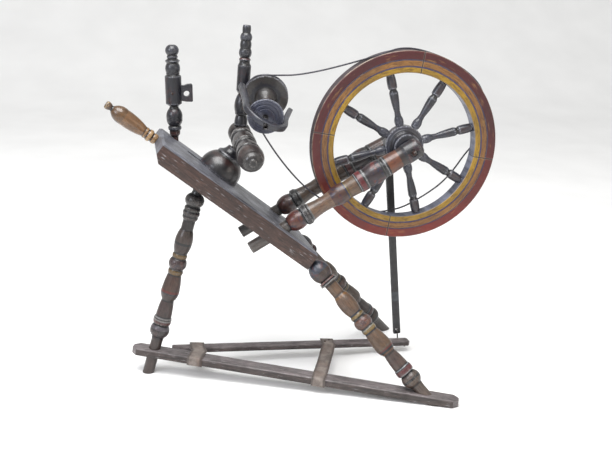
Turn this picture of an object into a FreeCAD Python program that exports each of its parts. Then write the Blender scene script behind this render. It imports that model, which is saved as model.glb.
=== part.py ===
"""Treadle spinning wheel with a sloping table, a turned upright in the distaff's hole and a slack drive band."""
import math
import os

import FreeCAD, Part
import Sketcher

Vec = FreeCAD.Vector
doc = FreeCAD.newDocument("SpinningWheel")
sheet = doc.addObject("Spreadsheet::Sheet", "Sizes")

# Every size is written once here, in millimetres and degrees.
SIZES = {
    "runFit": 0.05, "seatGap": 0.3, "woodFit": 0.05,
    "originX": -242.49, "originY": -8.45,
    # wheel
    "wheelHeight": 580.2, "rimRadius": 230.0, "rimInner": 177.1, "rimWidth": 36.6,
    "rimGrooveDepth": 6.0, "rimGrooveWidth": 26.0, "rimLineOuter": 208.0, "rimLineInner": 192.0,
    "rimLineHalf": 1.6, "rimLineDepth": 1.2, "rimEase": 2.5, "felloeCount": 4.0, "felloeStart": 82.0,
    "felloeGap": 0.04, "spokeCount": 8.0, "spokeStart": 15.0, "spokeTenon": 6.5, "spokeTenonIn": 12.0,
    "spokeTenonOut": 10.0, "hubRadius": 48.0, "hubDrum": 32.0, "hubBoss": 33.0, "hubBossLength": 24.0,
    "hubEnd": 21.0, "hubEndLength": 3.0, "hubStep": 5.0,
    # axle and crank
    "axleRadius": 6.0, "axleNear": 99.6, "crankThick": 4.0, "crankWide": 13.0, "crankReach": 40.0,
    "crankAngle": -99.5, "crankPin": 4.0, "crankPinLength": 12.0, "crankGap": 1.1,
    # wheel posts
    "postSpread": 70.4, "postRake": 32.23, "postTenon": 14.5, "nearPostTail": 106.0, "farPostTail": 113.0,
    "postDimple": 10.0, "postDimpleDepth": 4.0,
    # table
    "tableX": -582.0, "tableZ": 597.8, "tableSlope": 36.01, "tableLength": 452.6, "tableWidth": 199.2,
    "tableThick": 44.7, "endSlant": 34.0, "endFlat": 24.0, "tableBevel": 5.0, "tableHeel": 16.0,
    "slotStart": 76.0, "slotPast": 5.0, "slideTravel": 12.0, "slotWidth": 20.0, "screwSide": 30.0, "screwDepth": 22.35,
    # legs
    "leftFootX": -613.0, "leftTopAlong": 140.0, "footX": 51.0, "footSpread": 233.0, "splayTopBack": 2.6,
    "splayTopSpread": 70.0, "splayTopDepth": 26.0, "legTenon": 14.0, "legTopTenon": 11.0,
    "legTopTenonLength": 34.0, "leftFoot": 88.0, "splayFoot": 50.5, "leftShaft": 24.0, "splayShaft": 34.5,
    "backShaft": 59.5,
    "footExtra": 16.0,
    # front bar between the feet
    "barHeight": 54.0, "barDrop": 40.0, "barWide": 40.0, "barThick": 18.0, "barLeftEnd": 53.0,
    "barRightEnd": 76.0, "barEase": 3.0, "barEndCut": 13.0,
    # treadle
    "armLeftX": -552.0, "armLeftY": 18.5, "armLeftZ": 51.0, "armRightX": 79.5, "armRightY": 83.8,
    "armRightZ": 23.8, "armWide": 28.0, "armThick": 12.0, "armPoint": 46.0, "armEase": 2.0,
    "strapWide": 35.0, "leatherThick": 3.0, "strapOnBar": -208.0, "strapOnArm": -150.0, "wrapOnBar": -497.0,
    "wrapWide": 38.0, "tongueGap": 0.6, "nailHead": 3.2, "nailHeadHigh": 1.4, "nailShank": 1.2,
    "nailLength": 8.0, "pegRadius": 2.5, "pegLength": 22.0, "pegBack": 26.0,
    # footman
    "footmanBottomX": 53.0, "footmanBottomZ": 40.0, "footmanWide": 20.0, "footmanThick": 8.0,
    "footmanSide": 106.2, "tieLength": 50.0, "tieWide": 14.0, "tieThick": 6.0, "tieWall": 4.5,
    "hookWire": 1.6, "hookLength": 18.0, "hookBend": 4.0, "hookHole": 3.6, "hookSeat": 14.0, "hookTurn": 3.5,
    "hookDrop": 1.5, "hookTail": 5.1,
    # mother of all
    "motherAlong": 165.0, "barAbove": 100.0, "barDroop": 3.5, "barFar": 125.0, "motherSlotPlay": 0.5,
    "blockLength": 30.0, "collarTenon": 12.0, "collarTenonLength": 20.0, "maidenSide": 86.0,
    "maidenLean": 2.0, "maidenTenon": 9.0, "maidenTenonLength": 18.0,
    # flyer and bobbin
    "whorlX": -335.3, "whorlY": 50.0, "whorlZ": 685.0, "axisX": -0.134, "axisY": -0.970, "axisZ": -0.199,
    "orificeReach": 194.0, "spindleRadius": 4.5, "spindleBack": 48.0, "orificeRadius": 5.8,
    "orificeBore": 3.4, "orificeLength": 16.0, "orificeDepth": 8.4, "bearingThick": 10.0, "bearingHigh": 30.0,
    "bearingPast": 15.0, "bearingTenon": 6.0, "bearingTenonLength": 18.0, "flyerRoll": -27.0,
    "flyerThick": 15.0, "flyerArm": 13.0, "flyerBack": 180.0, "flyerNose": 9.0, "flyerNoseHalf": 11.0,
    "flyerThroat": 44.0, "flyerShoulder": 33.0, "flyerWaistBack": 63.0, "flyerWaist": 51.5,
    "flyerMidBack": 110.0, "flyerMid": 59.0, "flyerTip": 65.5, "hookWireRadius": 0.9, "hookCount": 6.0,
    "hookPitch": 17.0, "hookReach": 7.0, "hookRoot": 5.0, "hookCurl": 3.0, "hookFirst": 84.0,
    "coreRadius": 11.0, "flangeRadius": 42.0, "flangeThick": 6.5, "flangeReach": 131.0, "whorlRadius": 54.0,
    "whorlWide": 20.0, "whorlGroove": 6.0, "whorlLip": 3.0, "neckLength": 26.0, "neckRadius": 26.0,
    # tension screw
    "screwRadius": 8.0, "screwReach": 188.0, "screwStem": 9.0, "screwStemLength": 26.0,
    # upright
    "uprightX": -547.2, "uprightEdge": 17.6, "uprightLean": 2.6, "uprightTenon": 8.0,
    "uprightTenonLength": 34.0, "tabReach": 45.0, "tabHigh": 42.0, "tabLow": 90.0, "tabThick": 14.0,
    "tabHole": 7.0, "tabHoleReach": 30.5, "tabHoleHigh": 109.5, "tabRound": 7.0, "tabTenon": 5.0,
    "tabTenonLength": 14.0, "studHigh": 113.0,
    # drive band
    "bandRadius": 2.0, "bandLift": 1.3, "bandOn": 106.9, "bandOff": 25.0, "bandUnder": 211.7, "bandOver": 93.0,
    "bandSlackBend": 220.0, "bandLead": 8.0, "bandTurn": 36.0,
}

# Turned profiles: feature, length along the axis, radius at its end, rise of its curve over the straight line.
TURNED = {
    "post": (13.0, [
        ("Crown", 12.0, 24.0, 2.5), ("Head", 30.0, 25.0, 0.5), ("Throat", 20.0, 22.5, -1.0),
        ("Chest", 33.0, 24.5, 0.0), ("RingA", 5.0, 25.4, 0.0), ("GapA", 5.0, 23.5, 0.0),
        ("RingB", 5.0, 25.4, 0.0), ("UpperBulb", 42.0, 23.5, 2.5), ("RingC", 6.0, 25.5, 0.0),
        ("Band", 14.0, 25.5, 0.0), ("RingD", 6.0, 23.5, 0.0), ("Tan", 26.0, 21.5, 0.0),
        ("Waist", 8.0, 23.5, 0.0), ("MidBulb", 34.0, 20.5, 2.5), ("Cove", 62.0, 22.5, -3.0),
        ("RingE", 5.0, 26.0, 0.0), ("RingF", 10.0, 26.0, 0.0), ("RingG", 4.0, 21.0, 0.0),
        ("LowerBulb", 38.0, 17.0, 5.0), ("Shoulder", 2.0, 14.5, 0.0)]),
    "leg": (0.0, [
        ("Flare", 10.0, 15.5, 0.0), ("AnkleBulb", 33.0, 17.0, 7.5), ("StepA", 2.0, 21.0, 0.0),
        ("RingA", 17.0, 21.0, 1.2), ("StepB", 2.0, 19.5, 0.0), ("Cone", 44.0, 15.0, 0.8),
        ("VaseLow", 20.0, 22.5, 1.2), ("VaseTop", 48.0, 16.5, 1.2), ("OchreA", 14.0, 16.5, 2.0),
        ("DarkBulb", 28.0, 16.5, 5.5), ("OchreB", 13.0, 16.0, 2.0), ("UpperBulb", 61.0, 15.0, 6.0)]),
    "legTop": (15.0, [
        ("RingB", 12.0, 18.5, 2.0), ("RingC", 12.0, 18.5, 2.2), ("RingD", 12.0, 16.0, 2.2),
        ("Ball", 30.0, 13.0, 8.5)]),
    "splayTop": (15.0, [
        ("StepA", 1.5, 22.0, 0.0), ("RingA", 4.5, 22.0, 1.5), ("Gap", 1.0, 20.5, 0.0),
        ("RingB", 4.5, 21.0, 1.5), ("StepB", 1.0, 17.0, 0.0), ("Ball", 50.0, 14.0, 10.0)]),
    "spoke": (9.5, [
        ("Swell", 24.0, 8.0, 2.5), ("Waist", 12.0, 7.0, 0.0), ("Vase", 46.0, 11.0, 0.8),
        ("Shoulder", 8.0, 8.0, 0.0), ("Ring", 4.0, 11.0, 0.0), ("Foot", 34.1, 9.5, 1.2)]),
    "collar": (52.0, [
        ("Lip", 8.0, 52.0, 0.0), ("Dome", 38.0, 33.0, 5.0), ("Bead", 8.0, 30.0, 1.5), ("Neck", 17.0, 20.0, -3.0)]),
    "mother": (11.0, [
        ("EndCap", 8.0, 20.0, 2.0), ("FarBulb", 34.0, 22.0, 7.0), ("GapA", 3.0, 20.0, 0.0),
        ("Drum", 44.0, 28.0, 1.5), ("RingA", 4.0, 24.0, 0.0), ("Saddle", 58.0, 27.0, 2.5),
        ("RingB", 4.0, 22.5, 0.0), ("RingC", 9.0, 25.5, 1.5), ("RingD", 4.0, 22.5, 0.0),
        ("Barrel", 52.0, 29.0, 1.5), ("RingE", 4.0, 26.0, 0.0), ("Knob", 52.0, 24.0, 5.5),
        ("Nose", 16.0, 10.0, 3.5), ("Button", 4.0, 7.0, 0.8)]),
    "maiden": (16.0, [
        ("Foot", 24.0, 13.0, 1.0), ("RingA", 6.0, 15.5, 1.0), ("Vase", 46.0, 10.5, 5.0),
        ("Flare", 8.0, 16.0, 0.0), ("Drum", 60.0, 16.0, 0.0), ("RingB", 5.0, 13.5, 0.0),
        ("Cove", 10.0, 14.5, -1.5), ("RingC", 4.0, 11.0, 0.0), ("UpperBulb", 22.0, 12.5, 3.5),
        ("RingD", 18.0, 12.0, 1.5), ("Bulb", 19.0, 9.5, 3.5), ("Finial", 18.0, 9.0, 1.0)]),
    "handle": (11.0, [
        ("BeadA", 12.0, 11.0, 1.8), ("StepA", 3.0, 14.0, 0.0), ("BeadB", 8.0, 14.0, 1.0),
        ("StepB", 3.0, 12.0, 0.0), ("BeadC", 8.0, 12.5, 1.4), ("Swell", 58.0, 19.5, 2.5),
        ("Shoulder", 32.0, 7.5, 5.0), ("Neck", 3.0, 6.5, 0.0), ("Knob", 11.0, 10.0, 0.8), ("Tip", 5.0, 6.5, 0.8)]),
    "upright": (8.5, [
        ("FootRound", 7.0, 12.4, 1.0), ("FootTop", 7.0, 13.0, 0.0), ("StepA", 2.0, 15.3, 0.0),
        ("RingA", 7.0, 15.3, 0.8), ("StepB", 2.0, 13.0, 0.0), ("VaseLow", 18.0, 18.9, 2.0),
        ("VaseTop", 24.0, 11.5, 3.0), ("Neck", 5.0, 10.5, 0.0), ("Flare", 6.0, 19.0, 0.0),
        ("Drum", 66.0, 19.5, 0.0), ("DrumTop", 3.0, 15.0, 0.0), ("RingB", 5.0, 15.5, 0.8),
        ("Bulb", 22.0, 14.0, 2.8), ("RingC", 6.0, 17.7, 0.0), ("RingD", 5.0, 11.0, 0.0),
        ("RingE", 8.0, 11.0, 2.0), ("Knob", 24.0, 7.0, 7.0)]),
}

row = 1
V = {}


def write_size(name, value):
    """Write one named size into the sheet and keep it for placing the pieces."""
    global row
    sheet.set("A%d" % row, name)
    sheet.set("B%d" % row, repr(float(value)))
    sheet.setAlias("B%d" % row, name)
    V[name] = float(value)
    row += 1


for size_name, size_value in SIZES.items():
    write_size(size_name, size_value)
for key, (start_radius, features) in TURNED.items():
    write_size(key + "StartRadius", start_radius)
    for feature, length, radius, rise in features:
        write_size(key + feature + "Length", length)
        write_size(key + feature + "Radius", radius)
        if rise:
            write_size(key + feature + "Rise", rise)
write_size("slotEnd", V["motherAlong"] + V["blockLength"] / 2 + V["slideTravel"] + V["slotPast"])
doc.recompute()

NODES = []


def keep(obj, label):
    """Name an object as one subcomponent of the assembly."""
    obj.Label = label
    NODES.append(obj)
    return obj


def at(x, y, z):
    """Turn a point measured from the wheel's plane and the floor into the part's own frame."""
    return Vec(x - V["originX"], y - V["originY"], z)


def aim(origin, along, side=Vec(0, 1, 0)):
    """Placement whose Z axis runs along one direction and whose Y axis lies nearest another."""
    z_axis = Vec(along).normalize()
    x_axis = Vec(side).cross(z_axis).normalize()
    y_axis = z_axis.cross(x_axis)
    return FreeCAD.Placement(origin, FreeCAD.Rotation(x_axis, y_axis, z_axis, "ZXY"))


def plane_of(body, role):
    """Origin plane of a body by its role."""
    return [f for f in body.Origin.OriginFeatures if f.Role == role][0]


def new_sketch(body, name, role):
    """Sketch on one of the body's own origin planes."""
    sketch = body.newObject("Sketcher::SketchObject", name)
    sketch.AttachmentSupport = [(plane_of(body, role), "")]
    sketch.MapMode = "FlatFace"
    return sketch


def outline(body, name, role, points, links=None):
    """Closed outline of straight lines, each corner bound to sizes where the links name them."""
    sketch = new_sketch(body, name, role)
    count = len(points)
    for i in range(count):
        a = points[i]
        b = points[(i + 1) % count]
        sketch.addGeometry(Part.LineSegment(Vec(a[0], a[1], 0), Vec(b[0], b[1], 0)), False)
    for i in range(count):
        sketch.addConstraint(Sketcher.Constraint("Coincident", i, 2, (i + 1) % count, 1))
    for i, (ex, ey) in enumerate(links or []):
        for word, value, text in (("DistanceX", points[i][0], ex), ("DistanceY", points[i][1], ey)):
            if abs(value) < 1e-9:
                other = -2 if word == "DistanceX" else -1
                sketch.addConstraint(Sketcher.Constraint("PointOnObject", i, 1, other))
                continue
            number = sketch.addConstraint(Sketcher.Constraint(word, -1, 1, i, 1, value))
            if text:
                sketch.renameConstraint(number, "%s%d" % (word[-1], i))
                sketch.setExpression("Constraints.%s%d" % (word[-1], i), text)
    return sketch


def profile(body, name, start, steps):
    """Half profile of a turned piece: lines and arcs stacked along the axis, bound to the sheet."""
    sketch = new_sketch(body, name, "XZ_Plane")
    heights = [0.0]
    radii = [V[start] if start in V else start]
    for step in steps:
        heights.append(heights[-1] + V[step[0]])
        radii.append(V[step[1]])
    count = len(steps)
    sketch.addGeometry(Part.LineSegment(Vec(0, 0, 0), Vec(radii[0], 0, 0)), False)
    ends = [(0, 2)]
    for i, step in enumerate(steps):
        low = Vec(radii[i], heights[i], 0)
        high = Vec(radii[i + 1], heights[i + 1], 0)
        rise = V[step[2]] if step[2] else 0.0
        if rise == 0.0:
            sketch.addGeometry(Part.LineSegment(low, high), False)
            first, last = 1, 2
        else:
            chord = high.sub(low)
            half = chord.Length / 2.0
            arc_radius = (half * half + rise * rise) / (2.0 * abs(rise))
            out = Vec(chord.y, -chord.x, 0).normalize()
            middle = low.add(high).multiply(0.5)
            sign = 1.0 if rise > 0 else -1.0
            centre = middle.sub(Vec(out).multiply(sign * (arc_radius - abs(rise))))
            angle_low = math.atan2(low.y - centre.y, low.x - centre.x)
            angle_high = math.atan2(high.y - centre.y, high.x - centre.x)
            circle = Part.Circle(centre, Vec(0, 0, 1), arc_radius)
            if rise > 0:
                arc = Part.ArcOfCircle(circle, angle_low, angle_high)
                first, last = 1, 2
            else:
                if angle_low < 0:
                    angle_low += 2 * math.pi
                if angle_high < 0:
                    angle_high += 2 * math.pi
                arc = Part.ArcOfCircle(circle, angle_high, angle_low)
                first, last = 2, 1
            sketch.addGeometry(arc, False)
        ends.append((first, last))
    top = count + 1
    sketch.addGeometry(Part.LineSegment(Vec(radii[-1], heights[-1], 0), Vec(0, heights[-1], 0)), False)
    sketch.addGeometry(Part.LineSegment(Vec(0, heights[-1], 0), Vec(0, 0, 0)), False)
    constraint = Sketcher.Constraint
    sketch.addConstraint(constraint("Coincident", 0, 1, -1, 1))
    sketch.addConstraint(constraint("Horizontal", 0))
    sketch.addConstraint(constraint("Coincident", 0, 2, 1, ends[1][0]))
    for i in range(1, count):
        sketch.addConstraint(constraint("Coincident", i, ends[i][1], i + 1, ends[i + 1][0]))
    sketch.addConstraint(constraint("Coincident", count, ends[count][1], top, 1))
    sketch.addConstraint(constraint("Horizontal", top))
    sketch.addConstraint(constraint("Coincident", top, 2, top + 1, 1))
    sketch.addConstraint(constraint("Coincident", top + 1, 2, -1, 1))
    number = sketch.addConstraint(constraint("DistanceX", -1, 1, 0, 2, radii[0]))
    if start in V:
        sketch.renameConstraint(number, "StartR")
        sketch.setExpression("Constraints.StartR", "Sizes." + start)
    for i, step in enumerate(steps):
        number = sketch.addConstraint(
            constraint("DistanceY", i + 1, ends[i + 1][0], i + 1, ends[i + 1][1], V[step[0]]))
        sketch.renameConstraint(number, "L%d" % i)
        sketch.setExpression("Constraints.L%d" % i, "Sizes." + step[0])
        number = sketch.addConstraint(constraint("DistanceX", -1, 1, i + 1, ends[i + 1][1], radii[i + 1]))
        sketch.renameConstraint(number, "R%d" % i)
        sketch.setExpression("Constraints.R%d" % i, "Sizes." + step[1])
        if step[2]:
            before = ("Sizes." + steps[i - 1][1]) if i else ("Sizes." + start if start in V else repr(start))
            rise = abs(V[step[2]])
            chord2 = V[step[0]] ** 2 + (radii[i + 1] - radii[i]) ** 2
            number = sketch.addConstraint(
                constraint("Radius", i + 1, (chord2 / 4.0 + rise * rise) / (2.0 * rise)))
            sketch.renameConstraint(number, "A%d" % i)
            sketch.setExpression(
                "Constraints.A%d" % i,
                "((Sizes.{0}^2 + (Sizes.{1} - {2})^2) / 4 + Sizes.{3}^2) / (2 * abs(Sizes.{3}))".format(
                    step[0], step[1], before, step[2]))
    return sketch


def revolve(body, sketch, name="Turning", axis="V_Axis"):
    """Full turn of a half profile about its axis."""
    turn = body.newObject("PartDesign::Revolution", name)
    turn.Profile = sketch
    turn.ReferenceAxis = (sketch, [axis])
    turn.Angle = 360.0
    sketch.Visibility = False
    return turn


def steps_of(key):
    """Aliases of one turned profile, in order along its axis."""
    found = []
    for feature, _, _, rise in TURNED[key][1]:
        stem = key + feature
        found.append((stem + "Length", stem + "Radius", stem + "Rise" if rise else ""))
    return found


def length_of(key):
    """Length of one turned profile."""
    return sum(V[step[0]] for step in steps_of(key))


def turned(label, start, steps, placement):
    """Turned piece made as one body from one profile."""
    body = doc.addObject("PartDesign::Body", label + "_turning")
    revolve(body, profile(body, label + "_profile", start, steps))
    body.Placement = placement
    return body


def pad(body, sketch, name, length, midplane=False, back=False):
    """Pad a sketch by a length given as an expression."""
    feature = body.newObject("PartDesign::Pad", name)
    feature.Profile = sketch
    feature.setExpression("Length", length)
    feature.Midplane = midplane
    feature.Reversed = back
    sketch.Visibility = False
    return feature


def rod(name, radius, length, placement):
    """Plain round bar used as a tool or as a piece of a fusion."""
    bar = doc.addObject("Part::Cylinder", name)
    bar.setExpression("Radius", radius)
    bar.setExpression("Height", length)
    bar.Placement = placement
    return bar


def block(name, size_x, size_y, size_z, placement):
    """Plain block whose three sizes are expressions."""
    box = doc.addObject("Part::Box", name)
    box.setExpression("Length", size_x)
    box.setExpression("Width", size_y)
    box.setExpression("Height", size_z)
    box.Placement = placement
    return box


def cut(name, base, tools):
    """Take one or more tools out of a base."""
    tool = tools[0]
    if len(tools) > 1:
        tool = doc.addObject("Part::MultiFuse", name + "_tools")
        tool.Shapes = tools
    result = doc.addObject("Part::Cut", name)
    result.Base = base
    result.Tool = tool
    return result


def fuse(name, pieces):
    """Join pieces into one solid."""
    result = doc.addObject("Part::MultiFuse", name)
    result.Shapes = pieces
    result.Refine = True
    return result


# Directions of the sloping table: down the slope, across, and out of its top.
slope = math.radians(V["tableSlope"])
DOWN = Vec(math.cos(slope), 0, -math.sin(slope))
OUT = Vec(math.sin(slope), 0, math.cos(slope))
TABLE = FreeCAD.Placement(at(V["tableX"], 0, V["tableZ"]), FreeCAD.Rotation(Vec(0, 1, 0), V["tableSlope"]))


def on_table(along, across, depth):
    """Point given along the table's slope, across it and down from its top face."""
    return TABLE.multVec(Vec(along, across, -depth))


# Where the posts run.
rake = math.radians(V["postRake"])
POST_DIR = Vec(-math.cos(rake), 0, -math.sin(rake))
CROWN = V["postCrownLength"] + V["postHeadLength"] / 2.0


def post_placement(side):
    """Frame of a wheel post, whose axis crosses the wheel's axle."""
    axle = at(0, side * V["postSpread"], V["wheelHeight"])
    return aim(axle.sub(Vec(POST_DIR).multiply(CROWN)), POST_DIR)


# Where the legs run: from the foot up to the table.
LEFT_FOOT = at(V["leftFootX"], 0, 0)
LEFT_TOP = on_table(V["leftTopAlong"], 0, V["tableThick"])
SPLAY = {}
for side in (-1, 1):
    foot = at(V["footX"], side * V["footSpread"], 0)
    SPLAY[side] = (foot, on_table(V["tableLength"] - V["splayTopBack"], side * V["splayTopSpread"],
                                  V["splayTopDepth"]))

# Where the front bar runs: through the left leg and the front leg.
left_dir = LEFT_TOP.sub(LEFT_FOOT).normalize()
front_dir = SPLAY[-1][1].sub(SPLAY[-1][0]).normalize()
BAR_A = LEFT_FOOT.add(Vec(left_dir).multiply(V["barHeight"] / left_dir.z))
BAR_B = SPLAY[-1][0].add(Vec(front_dir).multiply((V["barHeight"] - V["barDrop"]) / front_dir.z))
bar_run = BAR_B.sub(BAR_A)
BAR_SPAN = bar_run.Length
BAR_X = Vec(bar_run).normalize()
BAR_Y = Vec(0, 0, 1).cross(BAR_X).normalize()
BAR_Z = BAR_X.cross(BAR_Y)
BAR = FreeCAD.Placement(BAR_A, FreeCAD.Rotation(BAR_X, BAR_Y, BAR_Z, "XYZ"))


def bar_along(x_value):
    """Distance along the bar, from the left leg, of the place with the given X."""
    return (x_value - V["originX"] - BAR_A.x) / BAR_X.x


# Table plank.
plank = doc.addObject("PartDesign::Body", "table_plank")
length, width, thick = V["tableLength"], V["tableWidth"], V["tableThick"]
top = outline(
    plank, "plank_outline", "XY_Plane",
    [(0, -width / 2), (length, -width / 2), (length, -width / 2 + V["endFlat"]),
     (length - V["endSlant"], width / 2), (0, width / 2)],
    [("", "-Sizes.tableWidth / 2"), ("Sizes.tableLength", "-Sizes.tableWidth / 2"),
     ("Sizes.tableLength", "Sizes.endFlat - Sizes.tableWidth / 2"),
     ("Sizes.tableLength - Sizes.endSlant", "Sizes.tableWidth / 2"), ("", "Sizes.tableWidth / 2")])
plank_pad = pad(plank, top, "PlankPad", "Sizes.tableThick", back=True)
slot = outline(
    plank, "slot_outline", "XY_Plane",
    [(V["slotStart"], V["screwSide"] - V["slotWidth"] / 2), (V["slotEnd"], V["screwSide"] - V["slotWidth"] / 2),
     (V["slotEnd"], V["screwSide"] + V["slotWidth"] / 2), (V["slotStart"], V["screwSide"] + V["slotWidth"] / 2)],
    [("Sizes.slotStart", "Sizes.screwSide - Sizes.slotWidth / 2"),
     ("Sizes.slotEnd", "Sizes.screwSide - Sizes.slotWidth / 2"),
     ("Sizes.slotEnd", "Sizes.screwSide + Sizes.slotWidth / 2"),
     ("Sizes.slotStart", "Sizes.screwSide + Sizes.slotWidth / 2")])
slot_cut = plank.newObject("PartDesign::Pocket", "SlotPocket")
slot_cut.Profile = slot
slot_cut.Type = 1
slot_cut.Midplane = True
slot.Visibility = False
doc.recompute()


def edges_where(shape, test):
    """Names of the straight edges whose two ends both pass a test."""
    names = []
    for number, edge in enumerate(shape.Edges, 1):
        if len(edge.Vertexes) == 2 and all(test(vertex.Point) for vertex in edge.Vertexes):
            names.append("Edge%d" % number)
    return names


half = V["tableWidth"] / 2


def inside_slot(point):
    """Tell whether a corner belongs to the slot."""
    return abs(point.y - V["screwSide"]) < V["slotWidth"] and 1 < point.x < V["slotEnd"] + 1


bevel = plank.newObject("PartDesign::Chamfer", "TopBevel")
bevel.Base = (slot_cut, edges_where(slot_cut.Shape, lambda p: abs(p.z) < 1e-6 and not inside_slot(p)))
bevel.setExpression("Size", "Sizes.tableBevel")
doc.recompute()
heel = plank.newObject("PartDesign::Chamfer", "HeelCut")
heel.Base = (bevel, edges_where(bevel.Shape, lambda p: abs(p.x) < 1e-6 and abs(p.z + V["tableThick"]) < 1e-6))
heel.setExpression("Size", "Sizes.tableHeel")
plank.Placement = TABLE
doc.recompute()

holes = []
for side, label, tail in ((-1, "near", "nearPostTail"), (1, "far", "farPostTail")):
    start = post_placement(side).multVec(Vec(0, 0, length_of("post") - 30))
    holes.append(rod("table_%s_post_hole" % label, "Sizes.postTenon + Sizes.woodFit", "Sizes.%s + 60" % tail,
                     aim(start, POST_DIR)))
holes.append(rod("table_left_leg_hole", "Sizes.legTopTenon + Sizes.woodFit",
                 "Sizes.legTopTenonLength + Sizes.seatGap + 20", aim(LEFT_TOP.sub(Vec(left_dir).multiply(20)),
                                                                    left_dir)))
END_NORMAL = Vec(V["tableWidth"] - V["endFlat"], V["endSlant"], 0).normalize()
END_NORMAL = TABLE.Rotation.multVec(END_NORMAL)
END_POINT = on_table(V["tableLength"], V["endFlat"] - V["tableWidth"] / 2, 0)
splay_dirs = {}
splay_tops = {}
for side, label in ((-1, "front"), (1, "back")):
    foot, aimed = SPLAY[side]
    run = aimed.sub(foot).normalize()
    reach = END_POINT.sub(foot).dot(END_NORMAL) / run.dot(END_NORMAL)
    splay_dirs[side] = run
    splay_tops[side] = reach
    holes.append(rod("table_%s_leg_hole" % label, "Sizes.legTopTenon + Sizes.woodFit",
                     "Sizes.legTopTenonLength + Sizes.seatGap + 12",
                     aim(foot.add(Vec(run).multiply(reach - 12)), run)))
UPRIGHT_DIR = Vec(-math.sin(math.radians(V["uprightLean"])), 0, math.cos(math.radians(V["uprightLean"])))
up_x = V["uprightX"] - V["tableX"]
UPRIGHT_FOOT = at(V["uprightX"], V["tableWidth"] / 2 - V["uprightEdge"], V["tableZ"] - up_x * math.tan(slope))
holes.append(rod("table_upright_hole", "Sizes.uprightTenon + Sizes.runFit",
                 "Sizes.uprightTenonLength + Sizes.seatGap + 15",
                 aim(UPRIGHT_FOOT.add(Vec(UPRIGHT_DIR).multiply(15)), UPRIGHT_DIR.negative())))
holes.append(rod("table_screw_hole", "Sizes.screwRadius + Sizes.seatGap", "Sizes.slotStart + 10",
                 aim(on_table(-5, V["screwSide"], V["screwDepth"]), DOWN)))
table = keep(cut("table", plank, holes), "table")

# Wheel posts.
DIMPLE = {-1: True, 1: False}
for side, label, tail in ((-1, "near_post", "nearPostTail"), (1, "far_post", "farPostTail")):
    steps = steps_of("post") + [(tail, "postTenon", "")]
    body = turned(label, "postStartRadius", steps, post_placement(side))
    axle = at(0, side * V["postSpread"], V["wheelHeight"])
    tools = [rod(label + "_bearing", "Sizes.axleRadius + Sizes.runFit", "120",
                 aim(axle.sub(Vec(0, 60, 0)), Vec(0, 1, 0), Vec(0, 0, 1)))]
    if DIMPLE[side]:
        face = V["postHeadRadius"]
        tools.append(rod(label + "_dimple", "Sizes.postDimple", "Sizes.postDimpleDepth + 5",
                         aim(axle.sub(Vec(0, face + 5, 0)),
                             Vec(0, 1, 0), Vec(0, 0, 1))))
    keep(cut(label, body, tools), label)

# Legs.
write_size("leftNeck", 6.5)
ready = V["leftFoot"] + length_of("leg") + V["leftShaft"] + length_of("legTop")
write_size("leftTopGap", LEFT_TOP.sub(LEFT_FOOT).Length + V["legTopTenonLength"] - ready - V["leftNeck"])


def standing(label, foot, run, steps):
    """Leg turned from below the floor upwards, with its foot cut flat at the floor."""
    body = turned(label, "legTenon", [("footExtra", "legTenon", "")] + steps,
                  aim(foot.sub(Vec(run).multiply(V["footExtra"])), run))
    ground = block(label + "_ground", "200", "200", "100",
                   FreeCAD.Placement(Vec(foot.x - 100, foot.y - 100, -100), FreeCAD.Rotation()))
    return keep(cut(label + "_flat", body, [ground]), label)


standing("left_leg", LEFT_FOOT, left_dir,
         [("leftFoot", "legTenon", "")] + steps_of("leg") + [("leftShaft", "legTopStartRadius", "")]
         + steps_of("legTop") + [("leftNeck", "legTopTenon", ""), ("leftTopGap", "legTopTenon", "")])
write_size("splayNeck", 2.0)
for side, label in ((-1, "front_leg"), (1, "back_leg")):
    shaft, name = ("splayShaft", "frontTopRun") if side < 0 else ("backShaft", "backTopRun")
    ready = V["splayFoot"] + length_of("leg") + V[shaft] + length_of("splayTop") + V["splayNeck"]
    write_size(name, splay_tops[side] + V["legTopTenonLength"] - ready)
    standing(label, SPLAY[side][0], splay_dirs[side],
             [("splayFoot", "legTenon", "")] + steps_of("leg") + [(shaft, "splayTopStartRadius", "")]
             + steps_of("splayTop") + [("splayNeck", "legTopTenon", ""), (name, "legTopTenon", "")])

# Front bar between the left foot and the front foot.
bar_body = doc.addObject("PartDesign::Body", "front_bar_plank")
left_end, right_end, wide = V["barLeftEnd"], V["barRightEnd"], V["barWide"] / 2
write_size("barSpan", BAR_SPAN)
bar_out = outline(
    bar_body, "bar_outline", "XY_Plane",
    [(-left_end, -wide + V["barEndCut"]), (-left_end + V["barEndCut"], -wide),
     (BAR_SPAN + right_end - V["barEndCut"], -wide), (BAR_SPAN + right_end, -wide + V["barEndCut"]),
     (BAR_SPAN + right_end, wide - V["barEndCut"]), (BAR_SPAN + right_end - V["barEndCut"], wide),
     (-left_end + V["barEndCut"], wide), (-left_end, wide - V["barEndCut"])],
    [("-Sizes.barLeftEnd", "Sizes.barEndCut - Sizes.barWide / 2"),
     ("Sizes.barEndCut - Sizes.barLeftEnd", "-Sizes.barWide / 2"),
     ("Sizes.barSpan + Sizes.barRightEnd - Sizes.barEndCut", "-Sizes.barWide / 2"),
     ("Sizes.barSpan + Sizes.barRightEnd", "Sizes.barEndCut - Sizes.barWide / 2"),
     ("Sizes.barSpan + Sizes.barRightEnd", "Sizes.barWide / 2 - Sizes.barEndCut"),
     ("Sizes.barSpan + Sizes.barRightEnd - Sizes.barEndCut", "Sizes.barWide / 2"),
     ("Sizes.barEndCut - Sizes.barLeftEnd", "Sizes.barWide / 2"),
     ("-Sizes.barLeftEnd", "Sizes.barWide / 2 - Sizes.barEndCut")])
bar_pad = pad(bar_body, bar_out, "BarPad", "Sizes.barThick", midplane=True)
bar_body.Placement = BAR
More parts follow.
